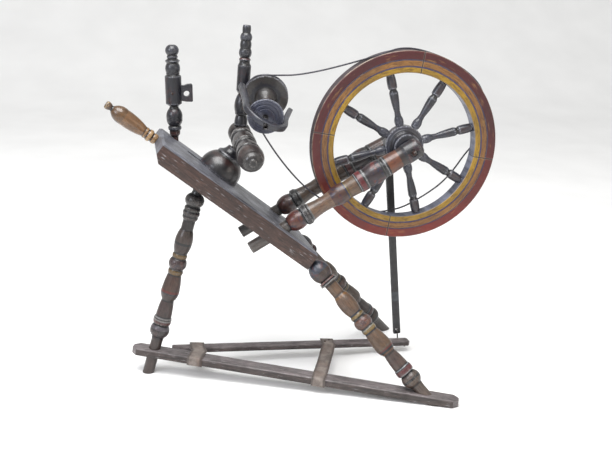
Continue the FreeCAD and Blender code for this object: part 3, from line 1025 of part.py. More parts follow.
# Upright in the distaff's hole, with its pierced tab.
write_size("uprightFoot", 7.5)
UP = aim(UPRIGHT_FOOT.sub(Vec(UPRIGHT_DIR).multiply(V["uprightTenonLength"])), UPRIGHT_DIR)
up_body = turned("upright_turned", "uprightTenon",
                 [("uprightTenonLength", "uprightTenon", ""), ("uprightFoot", "uprightTenon", "")]
                 + [("spokeShoulder", "uprightStartRadius", "")] + steps_of("upright"), UP)
BASE = V["uprightTenonLength"]
tab_place = UP.multiply(FreeCAD.Placement(
    Vec(0, -V["tabThick"] / 2, BASE + V["tabLow"]), FreeCAD.Rotation()))
tab_block = block("tab_block", "Sizes.tabReach", "Sizes.tabThick", "Sizes.tabHigh", tab_place)
drum_tool = rod("tab_drum_tool", "Sizes.uprightDrumRadius + Sizes.woodFit + 0.05", "300", UP)
tab_hole = rod("tab_bore", "Sizes.tabHole", "60",
               UP.multiply(FreeCAD.Placement(Vec(V["tabHoleReach"], -30, BASE + V["tabHoleHigh"]),
                                             FreeCAD.Rotation(Vec(1, 0, 0), -90))))
tab_cut = cut("tab_seated", tab_block, [drum_tool, tab_hole])
tab_tenon = rod("tab_tenon", "Sizes.tabTenon", "Sizes.tabTenonLength",
                UP.multiply(FreeCAD.Placement(
                    Vec(V["uprightDrumRadius"] + 3 - V["tabTenonLength"], 0, BASE + V["tabHoleHigh"] + 14),
                    FreeCAD.Rotation(Vec(0, 1, 0), 90))))
keep(fuse("distaff_tab", [tab_cut, tab_tenon]), "distaff_tab")
tab_socket = rod("tab_socket", "Sizes.tabTenon + Sizes.woodFit", "Sizes.tabTenonLength + 10",
                 UP.multiply(FreeCAD.Placement(
                     Vec(V["uprightDrumRadius"] + 3 - V["tabTenonLength"] - V["seatGap"], 0,
                         BASE + V["tabHoleHigh"] + 14), FreeCAD.Rotation(Vec(0, 1, 0), 90))))
stud_at = UP.multiply(FreeCAD.Placement(
    Vec(-4, -V["uprightDrumRadius"] + V["nailLength"] - 1.5, BASE + V["studHigh"]), FreeCAD.Rotation(Vec(1, 0, 0), 90)))
stud_shank = rod("stud_shank", "Sizes.nailShank", "Sizes.nailLength", stud_at)
stud_head = rod("stud_head", "Sizes.nailHead - 0.6", "Sizes.nailHeadHigh",
                stud_at.multiply(FreeCAD.Placement(Vec(0, 0, V["nailLength"] - 1.0), FreeCAD.Rotation())))
keep(fuse("distaff_nail", [stud_shank, stud_head]), "distaff_nail")
stud_hole = rod("stud_hole", "Sizes.nailShank + Sizes.woodFit", "Sizes.nailLength + 6",
                stud_at.multiply(FreeCAD.Placement(Vec(0, 0, -0.1), FreeCAD.Rotation())))
stud_flat = rod("stud_flat", "Sizes.nailHead", "20",
                stud_at.multiply(FreeCAD.Placement(Vec(0, 0, V["nailLength"] - 1.05), FreeCAD.Rotation())))
keep(cut("distaff_post", up_body, [tab_socket, stud_hole, stud_flat]), "distaff_post")

# Drive band: straight runs joined by tangent arcs, in two tubes that meet face to face.


def rounded_route(corners):
    """Edges of a route given as corner points, each with the radius of its bend, ends left plain."""
    edges = []
    last = Vec(corners[0][0])
    for i in range(1, len(corners) - 1):
        here, radius = Vec(corners[i][0]), corners[i][1]
        inward = here.sub(corners[i - 1][0]).normalize()
        outward = Vec(corners[i + 1][0]).sub(here).normalize()
        turn_angle = inward.getAngle(outward)
        offset = radius * math.tan(turn_angle / 2.0)
        start_arc = here.sub(Vec(inward).multiply(offset))
        end_arc = here.add(Vec(outward).multiply(offset))
        if start_arc.sub(last).Length > 0.01:
            edges.append(Part.LineSegment(last, start_arc).toShape())
        inner_dir = outward.sub(inward).normalize()
        middle = here.add(Vec(inner_dir).multiply(radius / math.cos(turn_angle / 2.0) - radius))
        edges.append(Part.Arc(start_arc, middle, end_arc).toShape())
        last = end_arc
    edges.append(Part.LineSegment(last, Vec(corners[-1][0])).toShape())
    return edges


def tube(edges, radius):
    """Round tube along a chain of edges."""
    wire_path = Part.Wire(edges)
    start_edge = edges[0]
    direction = start_edge.tangentAt(start_edge.FirstParameter)
    circle = Part.Wire([Part.Circle(start_edge.valueAt(start_edge.FirstParameter), direction, radius).toShape()])
    return wire_path.makePipeShell([circle], True, True)


def round_pulley(centre, axis_a, axis_b, radius, start, end):
    """Corners of a route that hugs a circle clockwise between two touching angles, straight just outside them."""
    half_step = (start - end) / 4.0
    reach = math.hypot(radius, V["bandLead"])
    lead = math.degrees(math.atan2(V["bandLead"], radius))
    corners = [(start + lead, reach, V["bandTurn"]), (end - lead, reach, V["bandTurn"])]
    for place, angle in ((1, start - half_step), (2, end + half_step)):
        corners.insert(place, (angle, radius / math.cos(math.radians(half_step)), radius))
    found = []
    for angle, distance, bend_radius in corners:
        found.append((centre.add(Vec(axis_a).multiply(distance * math.cos(math.radians(angle)))).add(
            Vec(axis_b).multiply(distance * math.sin(math.radians(angle)))), bend_radius))
    return found


def slack(points):
    """Corners of a slack run, each bent as widely as its shorter neighbour allows."""
    found = []
    for i in range(1, len(points) - 1):
        into = points[i].sub(points[i - 1])
        out_of = points[i + 1].sub(points[i])
        half_turn = into.getAngle(out_of) / 2.0
        shorter = min(into.Length, out_of.Length)
        found.append((points[i], min(V["bandSlackBend"], 0.42 * shorter / math.tan(half_turn))))
    return found


def nest(groove_depth, groove_half, floor_radius):
    """Radius at which the cord's centre lies in a groove with straight sides, clear of both."""
    half_angle = math.atan2(groove_half, groove_depth)
    return floor_radius + (V["bandRadius"] + V["bandLift"]) / math.sin(half_angle)


wheel_round = nest(V["rimGrooveDepth"], V["rimGrooveWidth"] / 2, V["rimRadius"] - V["rimGrooveDepth"])
whorl_round = nest(V["whorlGroove"], V["whorlSide"], V["whorlFloor"])
on_wheel = round_pulley(WHEEL, Vec(1, 0, 0), Vec(0, 0, 1), wheel_round, V["bandOn"], V["bandOff"])
on_whorl = round_pulley(WHORL, level, upward, whorl_round, V["bandUnder"], V["bandOver"])
lip = V["rimRadius"] + V["bandRadius"]
climb = math.radians(V["bandOff"] - 9.0)
over = math.radians(V["bandOff"] - 17.0)
CLIMB = WHEEL.add(Vec((lip + 2.6) * math.cos(climb), 9.0, (lip + 2.6) * math.sin(climb)))
OVER = WHEEL.add(Vec((lip - 1.0) * math.cos(over), V["rimWidth"] / 2 + V["bandRadius"] + 5.0,
                     (lip - 1.0) * math.sin(over)))
HANGING = [at(181.2, 25.5, 573.1), at(128.2, 26, 488), at(67, 27, 441), at(-2.6, 28, 403.5), at(-115, 32, 400.0)]
RISING = [at(-209.8, 40, 440.6), at(-294.5, 66, 526.3)]
SAG = at(-256.5, 37, 740.5)
JOIN_TOP = SAG.add(on_wheel[0][0].sub(SAG).multiply(0.45))
JOIN_LOW = HANGING[-1].add(RISING[0].sub(HANGING[-1]).multiply(0.5))
free_one = slack([on_wheel[-1][0], CLIMB, OVER] + HANGING + [JOIN_LOW])
free_two = slack([JOIN_LOW] + RISING + [on_whorl[0][0]])
free_top = slack([on_whorl[-1][0], SAG, JOIN_TOP])
route_one = rounded_route([(JOIN_TOP, 0)] + on_wheel + free_one + [(JOIN_LOW, 0)])
route_two = rounded_route([(JOIN_LOW, 0)] + free_two + on_whorl + free_top + [(JOIN_TOP, 0)])
tubes = [tube(route_one, V["bandRadius"]), tube(route_two, V["bandRadius"])]
band = doc.addObject("Part::Feature", "drive_band")
band.Shape = Part.Compound(tubes)
keep(band, "drive_band")
band_length = sum(edge.Length for edge in route_one + route_two)
band_volume = sum(shape.Volume for shape in tubes)
print("drive band length", round(band_length, 1), "volume ratio",
      round(band_volume / (math.pi * V["bandRadius"] ** 2 * band_length), 4))


# Checks that every piece is sound, then writes it out.
doc.recompute()
os.makedirs("parts", exist_ok=True)
for obj in NODES:
    bad = [state for state in obj.State if state in ("Invalid", "Error")]
    if bad or obj.Shape.isNull() or not obj.Shape.isValid():
        raise RuntimeError("%s is not sound: %s" % (obj.Label, obj.State))
for obj in NODES:
    obj.Shape.exportStep("parts/%s.step" % obj.Label)
print("pieces", len(NODES))
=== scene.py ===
"""Dressed model of a treadle spinning wheel: turned and painted wood, a felloed wheel, flyer, leather and cord.

Every length inside this file is in millimetres in the part's own frame, and becomes metres when a mesh is made.
"""
import logging
import math
from dataclasses import dataclass, field
from enum import Enum

import bpy
import numpy as np
from mathutils import Matrix


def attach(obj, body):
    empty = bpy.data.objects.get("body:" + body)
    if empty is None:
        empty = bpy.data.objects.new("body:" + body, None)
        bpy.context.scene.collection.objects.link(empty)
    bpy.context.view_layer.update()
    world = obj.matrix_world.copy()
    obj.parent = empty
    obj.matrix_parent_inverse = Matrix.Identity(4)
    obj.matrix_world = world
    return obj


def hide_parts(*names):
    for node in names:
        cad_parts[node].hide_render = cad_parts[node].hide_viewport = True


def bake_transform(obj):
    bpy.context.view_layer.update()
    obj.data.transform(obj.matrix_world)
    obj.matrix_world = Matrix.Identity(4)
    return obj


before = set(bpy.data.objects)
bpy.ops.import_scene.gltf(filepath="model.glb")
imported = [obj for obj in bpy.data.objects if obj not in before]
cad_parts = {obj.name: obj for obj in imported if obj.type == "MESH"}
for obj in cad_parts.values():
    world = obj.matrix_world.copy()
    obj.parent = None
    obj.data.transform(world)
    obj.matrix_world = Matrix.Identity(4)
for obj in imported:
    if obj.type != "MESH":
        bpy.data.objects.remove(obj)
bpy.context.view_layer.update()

log = logging.getLogger("spinning_wheel")
Array = np.ndarray
Step = tuple[float, float, float]
Zone = tuple[float, str, float]


class Body(str, Enum):
    """The moving bodies that a piece may ride on."""

    FRAME = "frame"
    WHEEL = "wheel"
    FOOTMAN = "footman"
    MOTHER = "mother"
    BOBBIN = "bobbin"
    FLYER = "flyer"
    SCREW = "screw"
    TREADLE = "treadle"
    DISTAFF = "distaff"


class Slot(str, Enum):
    """The record's material slots."""

    DARK = "dark_wood"
    BROWN = "brown_wood"
    RIM = "painted_rim"
    GREY = "grey_wood"
    TAN = "tan_wood"
    IRON = "iron"
    LEATHER = "leather"
    CORD = "cord"


def vec(*parts: float) -> Array:
    """A vector of floats."""
    return np.array(parts, dtype=float)


def unit(v: Array) -> Array:
    """Vectors divided by their lengths, along the last axis."""
    return v / np.linalg.norm(v, axis=-1, keepdims=True)


def at(x: float, y: float, z: float) -> Array:
    """A point given from the wheel's plane and the floor, in the part's own frame."""
    return vec(x + 242.49, y + 8.45, z)


def tone(code: str, dim: float = 1.0) -> tuple[float, float, float, float]:
    """Linear colour of a screen colour.

    Args:
        code: six hexadecimal digits after a hash.
        dim: factor for a darker or lighter version.

    Returns:
        Red, green, blue and alpha for a shader socket.
    """
    raw = np.array([int(code[i:i + 2], 16) / 255.0 for i in (1, 3, 5)])
    line = np.where(raw <= 0.04045, raw / 12.92, ((raw + 0.055) / 1.055) ** 2.4) * dim
    return (float(line[0]), float(line[1]), float(line[2]), 1.0)


@dataclass(frozen=True)
class Axes:
    """A local frame: an origin and three unit vectors."""

    origin: Array
    x: Array
    y: Array
    z: Array

    def out(self, local: Array) -> Array:
        """Local points, in the last axis, taken to the part's frame."""
        return self.origin + local[..., 0:1] * self.x + local[..., 1:2] * self.y + local[..., 2:3] * self.z

    def moved(self, x: float, y: float, z: float) -> "Axes":
        """The same directions from another local origin."""
        return Axes(self.out(vec(x, y, z)), self.x, self.y, self.z)

    def matrix(self) -> Matrix:
        """The three directions as the columns of a rotation."""
        return Matrix(np.stack([self.x, self.y, self.z], axis=1).tolist())


def aim(origin: Array, along: Array, side: Array = vec(0, 1, 0)) -> Axes:
    """Frame whose z runs along one direction and whose y lies nearest another.

    Args:
        origin: the frame's origin.
        along: direction of its z axis.
        side: direction that its y axis leans towards.

    Returns:
        The frame.
    """
    z = unit(along)
    x = unit(np.cross(side, z))
    return Axes(origin, x, np.cross(z, x), z)


def level_aim(start: Array, end: Array) -> Axes:
    """Frame whose x runs from one point to another and whose y stays level."""
    x = unit(end - start)
    y = unit(np.cross(vec(0, 0, 1), x))
    return Axes(start, x, y, np.cross(x, y))


# The places that the sub-assemblies share.
SLOPE = math.radians(36.01)
DOWN = vec(math.cos(SLOPE), 0, -math.sin(SLOPE))
OUT = vec(math.sin(SLOPE), 0, math.cos(SLOPE))
TABLE = Axes(at(-582, 0, 597.8), DOWN, vec(0, 1, 0), OUT)
HUB_AT = at(0, 0, 580.2)
AXLE = Axes(HUB_AT, vec(1, 0, 0), vec(0, 0, -1), vec(0, 1, 0))
RAKE = math.radians(32.23)
POST_RUN = vec(-math.cos(RAKE), 0, -math.sin(RAKE))
LEFT_FOOT = at(-613, 0, 0)
LEFT_RUN = unit(TABLE.out(vec(140, 0, -44.7)) - LEFT_FOOT)
SPLAY_FOOT = {side: at(51, side * 233, 0) for side in (-1, 1)}
SPLAY_RUN = {side: unit(TABLE.out(vec(450, side * 70, -26)) - SPLAY_FOOT[side]) for side in (-1, 1)}
BAR_START = LEFT_FOOT + LEFT_RUN * (54 / LEFT_RUN[2])
BAR_END = SPLAY_FOOT[-1] + SPLAY_RUN[-1] * (14 / SPLAY_RUN[-1][2])
BAR = level_aim(BAR_START, BAR_END)
BAR_SPAN = float(np.linalg.norm(BAR_END - BAR_START))
ARM_START, ARM_END = at(-552, 18.5, 51), at(79.5, 83.8, 23.8)
ARM = level_aim(ARM_START, ARM_END)
ARM_SPAN = float(np.linalg.norm(ARM_END - ARM_START))
SPIN = unit(vec(-0.134, -0.970, -0.199))
WHORL_AT = at(-335.3, 50, 685)
ORIFICE = WHORL_AT + SPIN * 194
BOBBIN = aim(WHORL_AT, SPIN)
SIDEWAYS = unit(np.cross(vec(0, 0, 1), SPIN))
UPWARD = unit(np.cross(SPIN, SIDEWAYS))
ROLL = math.radians(-27)
FLY_X = SIDEWAYS * math.cos(ROLL) + UPWARD * math.sin(ROLL)
FLYER = Axes(ORIFICE, FLY_X, np.cross(-SPIN, FLY_X), -SPIN)
MOTHER_SEAT = TABLE.out(vec(165, 30, 0.05))
DROOP = math.radians(3.5)
BAR_DIR = vec(0, -math.cos(DROOP), -math.sin(DROOP))
BAR_CENTRE = MOTHER_SEAT + OUT * 100
MAIDEN_AT = BAR_CENTRE + BAR_DIR * ((30 - 86) / math.cos(DROOP))
MAIDEN_RUN = vec(math.sin(math.radians(2)), 0, math.cos(math.radians(2)))
SCREW = aim(TABLE.out(vec(188, 30, -22.35)), -DOWN)
UP_RUN = vec(-math.sin(math.radians(2.6)), 0, math.cos(math.radians(2.6)))
UP = aim(at(-547.2, 82, 597.8 - 34.8 * math.tan(SLOPE)) - UP_RUN * 34, UP_RUN)
PIN_ANGLE = math.radians(-99.5)
PIN_AT = HUB_AT + vec(40 * math.cos(PIN_ANGLE), 0, 40 * math.sin(PIN_ANGLE))
CRANK_SIDE = 96.5
TIE_PIN = vec(PIN_AT[0], 8.45 + 106.2, PIN_AT[2])
STICK_END = at(53, 106.2, 40)
HANG = aim(TIE_PIN, STICK_END - TIE_PIN)
HANG_SPAN = float(np.linalg.norm(STICK_END - TIE_PIN))


def grid_faces(rows: int, cols: int, wrap_rows: bool, wrap_cols: bool) -> Array:
    """Corner numbers of the four-sided faces of a grid, which face outwards where columns run anticlockwise.

    Args:
        rows: number of rows of points.
        cols: number of points in a row.
        wrap_rows: True joins the last row to the first.
        wrap_cols: True joins the last point of a row to its first.

    Returns:
        One row of four corner numbers for each face.
    """
    i = np.arange(rows if wrap_rows else rows - 1)[:, None]
    j = np.arange(cols if wrap_cols else cols - 1)[None, :]
    i2, j2 = (i + 1) % rows, (j + 1) % cols
    return np.stack(np.broadcast_arrays(i * cols + j, i * cols + j2, i2 * cols + j2, i2 * cols + j),
                    axis=-1).reshape(-1, 4)


def fan_faces(ring: Array, middle: int, flip: bool) -> Array:
    """Triangles from a closed ring of corner numbers to one point; flip turns them over."""
    after = np.roll(ring, -1)
    first, second = (after, ring) if flip else (ring, after)
    return np.stack([np.full(len(ring), middle), first, second], axis=1)


@dataclass
class Skin:
    """Points in millimetres with faces, and how much each point stands proud or lies in a hollow."""

    points: Array
    quads: Array
    tris: Array = field(default_factory=lambda: np.zeros((0, 3), dtype=int))
    relief: Array | None = None
    uv: Array | None = None

    def mesh(self, name: str, sharp: float = 40.0) -> bpy.types.Mesh:
        """The mesh in metres, smooth but for edges sharper than an angle.

        Args:
            name: the mesh's name.
            sharp: angle in degrees past which an edge stays crisp.

        Returns:
            The new mesh, with attributes wear and, where given, a UV map.
        """
        made = bpy.data.meshes.new(name)
        made.from_pydata((self.points / 1000.0).tolist(), [], self.quads.tolist() + self.tris.tolist())
        made.polygons.foreach_set("use_smooth", np.ones(len(made.polygons), dtype=bool))
        if self.relief is not None:
            layer = made.attributes.new("relief", "FLOAT", "POINT")
            layer.data.foreach_set("value", self.relief.astype(np.float32))
        if self.uv is not None:
            sheet = made.uv_layers.new(name="UVMap")
            corner = np.zeros(len(made.loops), dtype=np.int32)
            made.loops.foreach_get("vertex_index", corner)
            flat = self.uv[corner]
            sheet.data.foreach_set("uv", flat.astype(np.float32).ravel())
        made.set_sharp_from_angle(angle=math.radians(sharp))
        made.update()
        return made

    def piece(self, name: str, sharp: float = 40.0) -> bpy.types.Object:
        """The mesh as an object at the origin."""
        made = bpy.data.objects.new(name, self.mesh(name, sharp))
        bpy.context.scene.collection.objects.link(made)
        return made


def joined(skins: list[Skin]) -> Skin:
    """Several skins as one.

    Args:
        skins: the skins, each with or without wear.

    Returns:
        One skin with their points and faces in order.
    """
    start = np.cumsum([0] + [len(s.points) for s in skins[:-1]])
    relief = [s.relief if s.relief is not None else np.zeros(len(s.points)) for s in skins]
    return Skin(np.concatenate([s.points for s in skins]),
                np.concatenate([s.quads + k for s, k in zip(skins, start)]),
                np.concatenate([s.tris + k for s, k in zip(skins, start)]),
                np.concatenate(relief))


def cut_by(made: bpy.types.Object, tools: list[Skin]) -> None:
    """Cuts closed shapes out of a piece's mesh and throws the shapes away.

    Args:
        made: the piece, whose mesh is replaced.
        tools: closed skins to cut away.
    """
    tool = joined(tools).piece("cutter")
    cut = made.modifiers.new("cut", "BOOLEAN")
    cut.operation, cut.solver, cut.object = "DIFFERENCE", "EXACT", tool
    bake_modifiers(made)
    spare = tool.data
    bpy.data.objects.remove(tool)
    bpy.data.meshes.remove(spare)


def bake_modifiers(made: bpy.types.Object, sharp: float = 40.0) -> None:
    """Replaces a piece's mesh by what its modifiers make of it.

    Args:
        made: the piece.
        sharp: angle in degrees past which an edge stays crisp.
    """
    bpy.context.view_layer.update()
    view = made.evaluated_get(bpy.context.evaluated_depsgraph_get())
    fresh = bpy.data.meshes.new_from_object(view)
    spare = made.data
    made.modifiers.clear()
    made.data = fresh
    bpy.data.meshes.remove(spare)
    fresh.name = made.name
    fresh.polygons.foreach_set("use_smooth", np.ones(len(fresh.polygons), dtype=bool))
    fresh.set_sharp_from_angle(angle=math.radians(sharp))
    fresh.update()


def eased(made: bpy.types.Object, width: float, segments: int = 3) -> None:
    """Rounds a piece's edges by a width in millimetres."""
    bevel = made.modifiers.new("ease", "BEVEL")
    bevel.width, bevel.segments, bevel.limit_method = width / 1000.0, segments, "ANGLE"
    bevel.angle_limit, bevel.use_clamp_overlap = math.radians(28), True
    bake_modifiers(made, 50.0)


def along_line(points: Array, spacing: float) -> Array:
    """A polyline resampled evenly by its length.

    Args:
        points: corners, one row each.
        spacing: wanted distance between new points.

    Returns:
        New points along the same line, its two ends among them.
    """
    reach = np.concatenate([[0.0], np.cumsum(np.linalg.norm(np.diff(points, axis=0), axis=1))])
    count = max(8, int(round(reach[-1] / spacing)))
    places = np.linspace(0, reach[-1], count + 1)
    return np.stack([np.interp(places, reach, points[:, k]) for k in range(points.shape[1])], axis=1)


def softened(points: Array, span: int) -> Array:
    """A line smoothed by a running mean of 2 * span + 1 points, with its two ends kept."""
    if span < 1:
        return points
    body = np.concatenate([np.repeat(points[:1], span, axis=0), points, np.repeat(points[-1:], span, axis=0)])
    kernel = np.ones(2 * span + 1) / (2 * span + 1)
    made = np.stack([np.convolve(body[:, k], kernel, mode="valid") for k in range(points.shape[1])], axis=1)
    made[0], made[-1] = points[0], points[-1]
    return made


def bowed(z0: float, r0: float, z1: float, r1: float, rise: float) -> Array:
    """Points of a turned feature between two radii.

    The line is the circular arc through both ends whose middle stands proud of the chord by the rise.

    Args:
        z0: height of the lower end.
        r0: radius there.
        z1: height of the upper end.
        r1: radius there.
        rise: how far the middle stands out of the chord; less than nothing is a hollow.

    Returns:
        Rows of height and radius, without the lower end.
    """
    if abs(rise) < 1e-6:
        return np.array([[z1, r1]])
    chord = vec(z1 - z0, r1 - r0)
    length = float(np.hypot(*chord))
    radius = (length * length / 4 + rise * rise) / (2 * abs(rise))
    half = math.asin(min(1.0, length / 2 / radius))
    if abs(rise) > length / 2:
        half = math.pi - half
    turn = np.linspace(-half, half, 26)[1:]
    along = radius * np.sin(turn)
    lift = (np.cos(turn) - math.cos(half)) * radius * math.copysign(1.0, rise)
    run = chord / length
    side = vec(-run[1], run[0])
    return vec(z0, r0) + (along + length / 2)[:, None] * run + lift[:, None] * side


def turned_line(start: float, steps: list[Step]) -> Array:
    """Half outline of a turned piece from pole to pole.

    Args:
        start: radius at its lower end.
        steps: length, end radius and rise of each feature in order.

    Returns:
        Rows of height and radius.
    """
    rows = [np.array([[0.0, 0.0], [0.0, start]])]
    height, radius = 0.0, start
    for length, end, rise in steps:
        rows.append(bowed(height, radius, height + length, end, rise))
        height, radius = height + length, end
    rows.append(np.array([[height, 0.0]]))
    return np.concatenate(rows)


def lathe(line: Array, axes: Axes, around: int = 56, spacing: float = 0.9, soft: int = 2,
          wobble: float = 0.0025, closed: bool = False, pitch: float = 0.0, crest: float = 0.0) -> Skin:
    """Surface of revolution: radius(height) carried round the z axis by an angle from 0 to a full turn.

    The radius is made slightly uneven, as old turned work is, by the factor 1 + wobble * sin(2 angle + height / 60).
    A thread adds crest * the distance of (height / pitch - angle / full turn) from its nearest whole number.

    Args:
        line: rows of height and radius; the first and last lie on the axis unless it is closed.
        axes: frame whose z axis is the axis of the lathe.
        around: number of points round the piece.
        spacing: distance between rings.
        soft: half width of the running mean that wears the edges down.
        wobble: share of the radius by which the piece is out of round.
        closed: True joins the line's end to its start, for a piece with a bore.
        pitch: thread's pitch, or 0 for none.
        crest: thread's depth.

    Returns:
        The skin, with wear from how far each ring stands out of its neighbourhood.
    """
    rows = softened(along_line(line, spacing / 2), soft)[::2] if not closed else along_line(line, spacing)[:-1]
    if not closed:
        rows[0, 1], rows[-1] = 0.0, line[-1]
    radii = rows[:, 1]
    broad = np.convolve(np.pad(radii, 8, mode="edge"), np.ones(17) / 17, mode="valid")
    proud = np.clip((radii - broad) / 0.9, -1, 1)
    ring = rows if closed else rows[1:-1]
    angle = np.linspace(0, 2 * math.pi, around, endpoint=False)
    height = np.repeat(ring[:, :1], around, axis=1)
    radius = ring[:, 1:2] * (1 + wobble * np.sin(2 * angle[None, :] + ring[:, :1] / 60.0))
    if pitch:
        turn = height / pitch - angle[None, :] / (2 * math.pi)
        radius = radius - crest * np.abs(turn - np.round(turn)) * 2
    local = np.stack([radius * np.cos(angle), radius * np.sin(angle), height], axis=-1)
    count = len(ring)
    points = axes.out(local).reshape(-1, 3)
    relief = np.repeat(proud if closed else proud[1:-1], around)
    quads = grid_faces(count, around, closed, True)
    if closed:
        return Skin(points, quads, relief=relief)
    points = np.concatenate([points, axes.out(vec(0, 0, rows[0, 0]))[None], axes.out(vec(0, 0, rows[-1, 0]))[None]])
    first, last = np.arange(around), (count - 1) * around + np.arange(around)
    tris = np.concatenate([fan_faces(first, count * around, True), fan_faces(last, count * around + 1, False)])
    return Skin(points, quads, tris, np.concatenate([relief, [0.0, 0.0]]))


def rod(radius: float, length: float, axes: Axes, around: int = 40, ease: float = 0.6) -> Skin:
    """Round bar with eased ends, as a lathe surface."""
    ease = min(ease, radius * 0.6, length * 0.3)
    line = np.array([[0, 0], [0, radius - ease], [ease, radius], [length - ease, radius],
                     [length, radius - ease], [length, 0]], dtype=float)
    return lathe(line, axes, around, max(0.5, length / 120), 1, 0.0)


def tube(path: Array, radius: float | Array, side: Array, around: int = 12, closed: bool = False) -> Skin:
    """Circle carried along a path: path(s) + radius(s) * (cos angle * side + sin angle * (tangent x side)).

    Args:
        path: points of the centre line.
        radius: one radius, or one for each point.
        side: direction that is never along the path.
        around: number of points round the tube.
        closed: True joins the end to the start.

    Returns:
        The skin, with its ends closed and a UV map of turn and metres along.
    """
    ahead = np.roll(path, -1, axis=0) - np.roll(path, 1, axis=0)
    if not closed:
        ahead = np.gradient(path, axis=0)
    ahead = unit(ahead)
    first = unit(side - (ahead @ side)[:, None] * ahead)
    second = np.cross(ahead, first)
    angle = np.linspace(0, 2 * math.pi, around, endpoint=False)
    width = np.broadcast_to(np.asarray(radius, dtype=float), (len(path),))[:, None, None]
    ring = path[:, None] + width * (np.cos(angle)[None, :, None] * first[:, None]
                                    + np.sin(angle)[None, :, None] * second[:, None])
    points = ring.reshape(-1, 3)
    quads = grid_faces(len(path), around, closed, True)
    reach = np.concatenate([[0.0], np.cumsum(np.linalg.norm(np.diff(path, axis=0), axis=1))]) / 1000.0
    uv = np.stack(np.broadcast_arrays(np.abs(angle[None, :] / math.pi - 1), reach[:, None]), axis=-1).reshape(-1, 2)
    if closed:
        return Skin(points, quads, uv=uv)
    count = len(points)
    points = np.concatenate([points, path[:1], path[-1:]])
    uv = np.concatenate([uv, [[0.5, reach[0]], [0.5, reach[-1]]]])
    last = (len(path) - 1) * around + np.arange(around)
    tris = np.concatenate([fan_faces(np.arange(around), count, True), fan_faces(last, count + 1, False)])
    return Skin(points, quads, tris, uv=uv)


def band_sweep(path: Array, across: Array, width: Array, thick: Array, power: float = 5.0,
               around: int = 28) -> Skin:
    """Rounded oblong carried along a path.

    Its section is the curve |u / half width| ^ power + |v / half thickness| ^ power = 1, where u runs across and v
    runs square to the path and to across.

    Args:
        path: points of the centre line.
        across: direction of the width at each point, or one for all.
        width: full width at each point, or one for all.
        thick: full thickness at each point, or one for all.
        power: 2 is an ellipse, and larger is squarer.
        around: number of points round the section.

    Returns:
        The skin, with its ends closed, wear along its edges, and a UV map of metres across and along.
    """
    count = len(path)
    ahead = unit(np.gradient(path, axis=0))
    across = np.broadcast_to(across, path.shape)
    u_dir = unit(across - np.sum(across * ahead, axis=1, keepdims=True) * ahead)
    v_dir = np.cross(ahead, u_dir)
    angle = np.linspace(0, 2 * math.pi, around, endpoint=False)
    cos, sin = np.cos(angle), np.sin(angle)
    reach = (np.abs(cos) ** power + np.abs(sin) ** power) ** (-1 / power)
    half_w = np.broadcast_to(np.asarray(width, dtype=float) / 2, (count,))
    half_t = np.broadcast_to(np.asarray(thick, dtype=float) / 2, (count,))
    u = half_w[:, None] * (reach * cos)[None]
    v = half_t[:, None] * (reach * sin)[None]
    points = (path[:, None] + u[..., None] * u_dir[:, None] + v[..., None] * v_dir[:, None]).reshape(-1, 3)
    corner = np.clip((reach - 1.12) / 0.2, 0, 1)
    relief = np.repeat(corner[None], count, axis=0).ravel()
    run = np.concatenate([[0.0], np.cumsum(np.linalg.norm(np.diff(path, axis=0), axis=1))]) / 1000.0
    uv = np.stack(np.broadcast_arrays(u / 1000.0, run[:, None]), axis=-1).reshape(-1, 2)
    quads = grid_faces(count, around, False, True)
    total = len(points)
    points = np.concatenate([points, path[:1], path[-1:]])
    last = (count - 1) * around + np.arange(around)
    tris = np.concatenate([fan_faces(np.arange(around), total, True), fan_faces(last, total + 1, False)])
    return Skin(points, quads, tris, np.concatenate([relief, [0, 0]]),
                np.concatenate([uv, [[0, run[0]], [0, run[-1]]]]))


def plank(corners: list[tuple[float, float]], low: float, high: float, axes: Axes, bevel_top: float = 0.0,
          cells: int = 14) -> Skin:
    """Flat board: an outline carried up through its thickness, drawn inwards by a bevel at the top.

    A point is corner(s) + inset * mitre(s) at height(t), with s round the outline and t up the side.

    Args:
        corners: the outline's corners, anticlockwise, in the frame's x and y.
        low: height of the underside.
        high: height of the top.
        axes: the board's frame.
        bevel_top: width of the slanting bevel round the top face.
        cells: points along each side of the outline.

    Returns:
        The skin, with its two faces closed by a fan.
    """
    base = np.array(corners, dtype=float)
    edge = unit(np.roll(base, -1, axis=0) - base)
    before = np.roll(edge, 1, axis=0)
    inward = np.stack([-edge[:, 1], edge[:, 0]], axis=1)
    inward_before = np.stack([-before[:, 1], before[:, 0]], axis=1)
    mitre = (inward + inward_before) / (1 + np.sum(inward * inward_before, axis=1, keepdims=True))
    levels = [(low, 0.0), (high - bevel_top, 0.0)] + ([(high, bevel_top)] if bevel_top else [])
    rings = []
    for height, inset in levels:
        ring = base + inset * mitre
        share = np.linspace(0, 1, cells, endpoint=False)[None, :, None]
        loop = (ring[:, None] * (1 - share) + np.roll(ring, -1, axis=0)[:, None] * share).reshape(-1, 2)
        rings.append(np.concatenate([loop, np.full((len(loop), 1), height)], axis=1))
    count = len(rings[0])
    flat = np.concatenate(rings)
    middle = np.array([[*base.mean(axis=0), low], [*base.mean(axis=0), high]])
    points = axes.out(np.concatenate([flat, middle]))
    quads = grid_faces(len(rings), count, False, True)
    last = (len(rings) - 1) * count + np.arange(count)
    tris = np.concatenate([fan_faces(np.arange(count), len(flat), True), fan_faces(last, len(flat) + 1, False)])
    return Skin(points, quads, tris)


def box(axes: Axes, low: Array, high: Array) -> Skin:
    """Straight-sided block between two local corners, used to cut with."""
    corners = [(low[0], low[1]), (high[0], low[1]), (high[0], high[1]), (low[0], high[1])]
    return plank(corners, float(low[2]), float(high[2]), axes, cells=1)


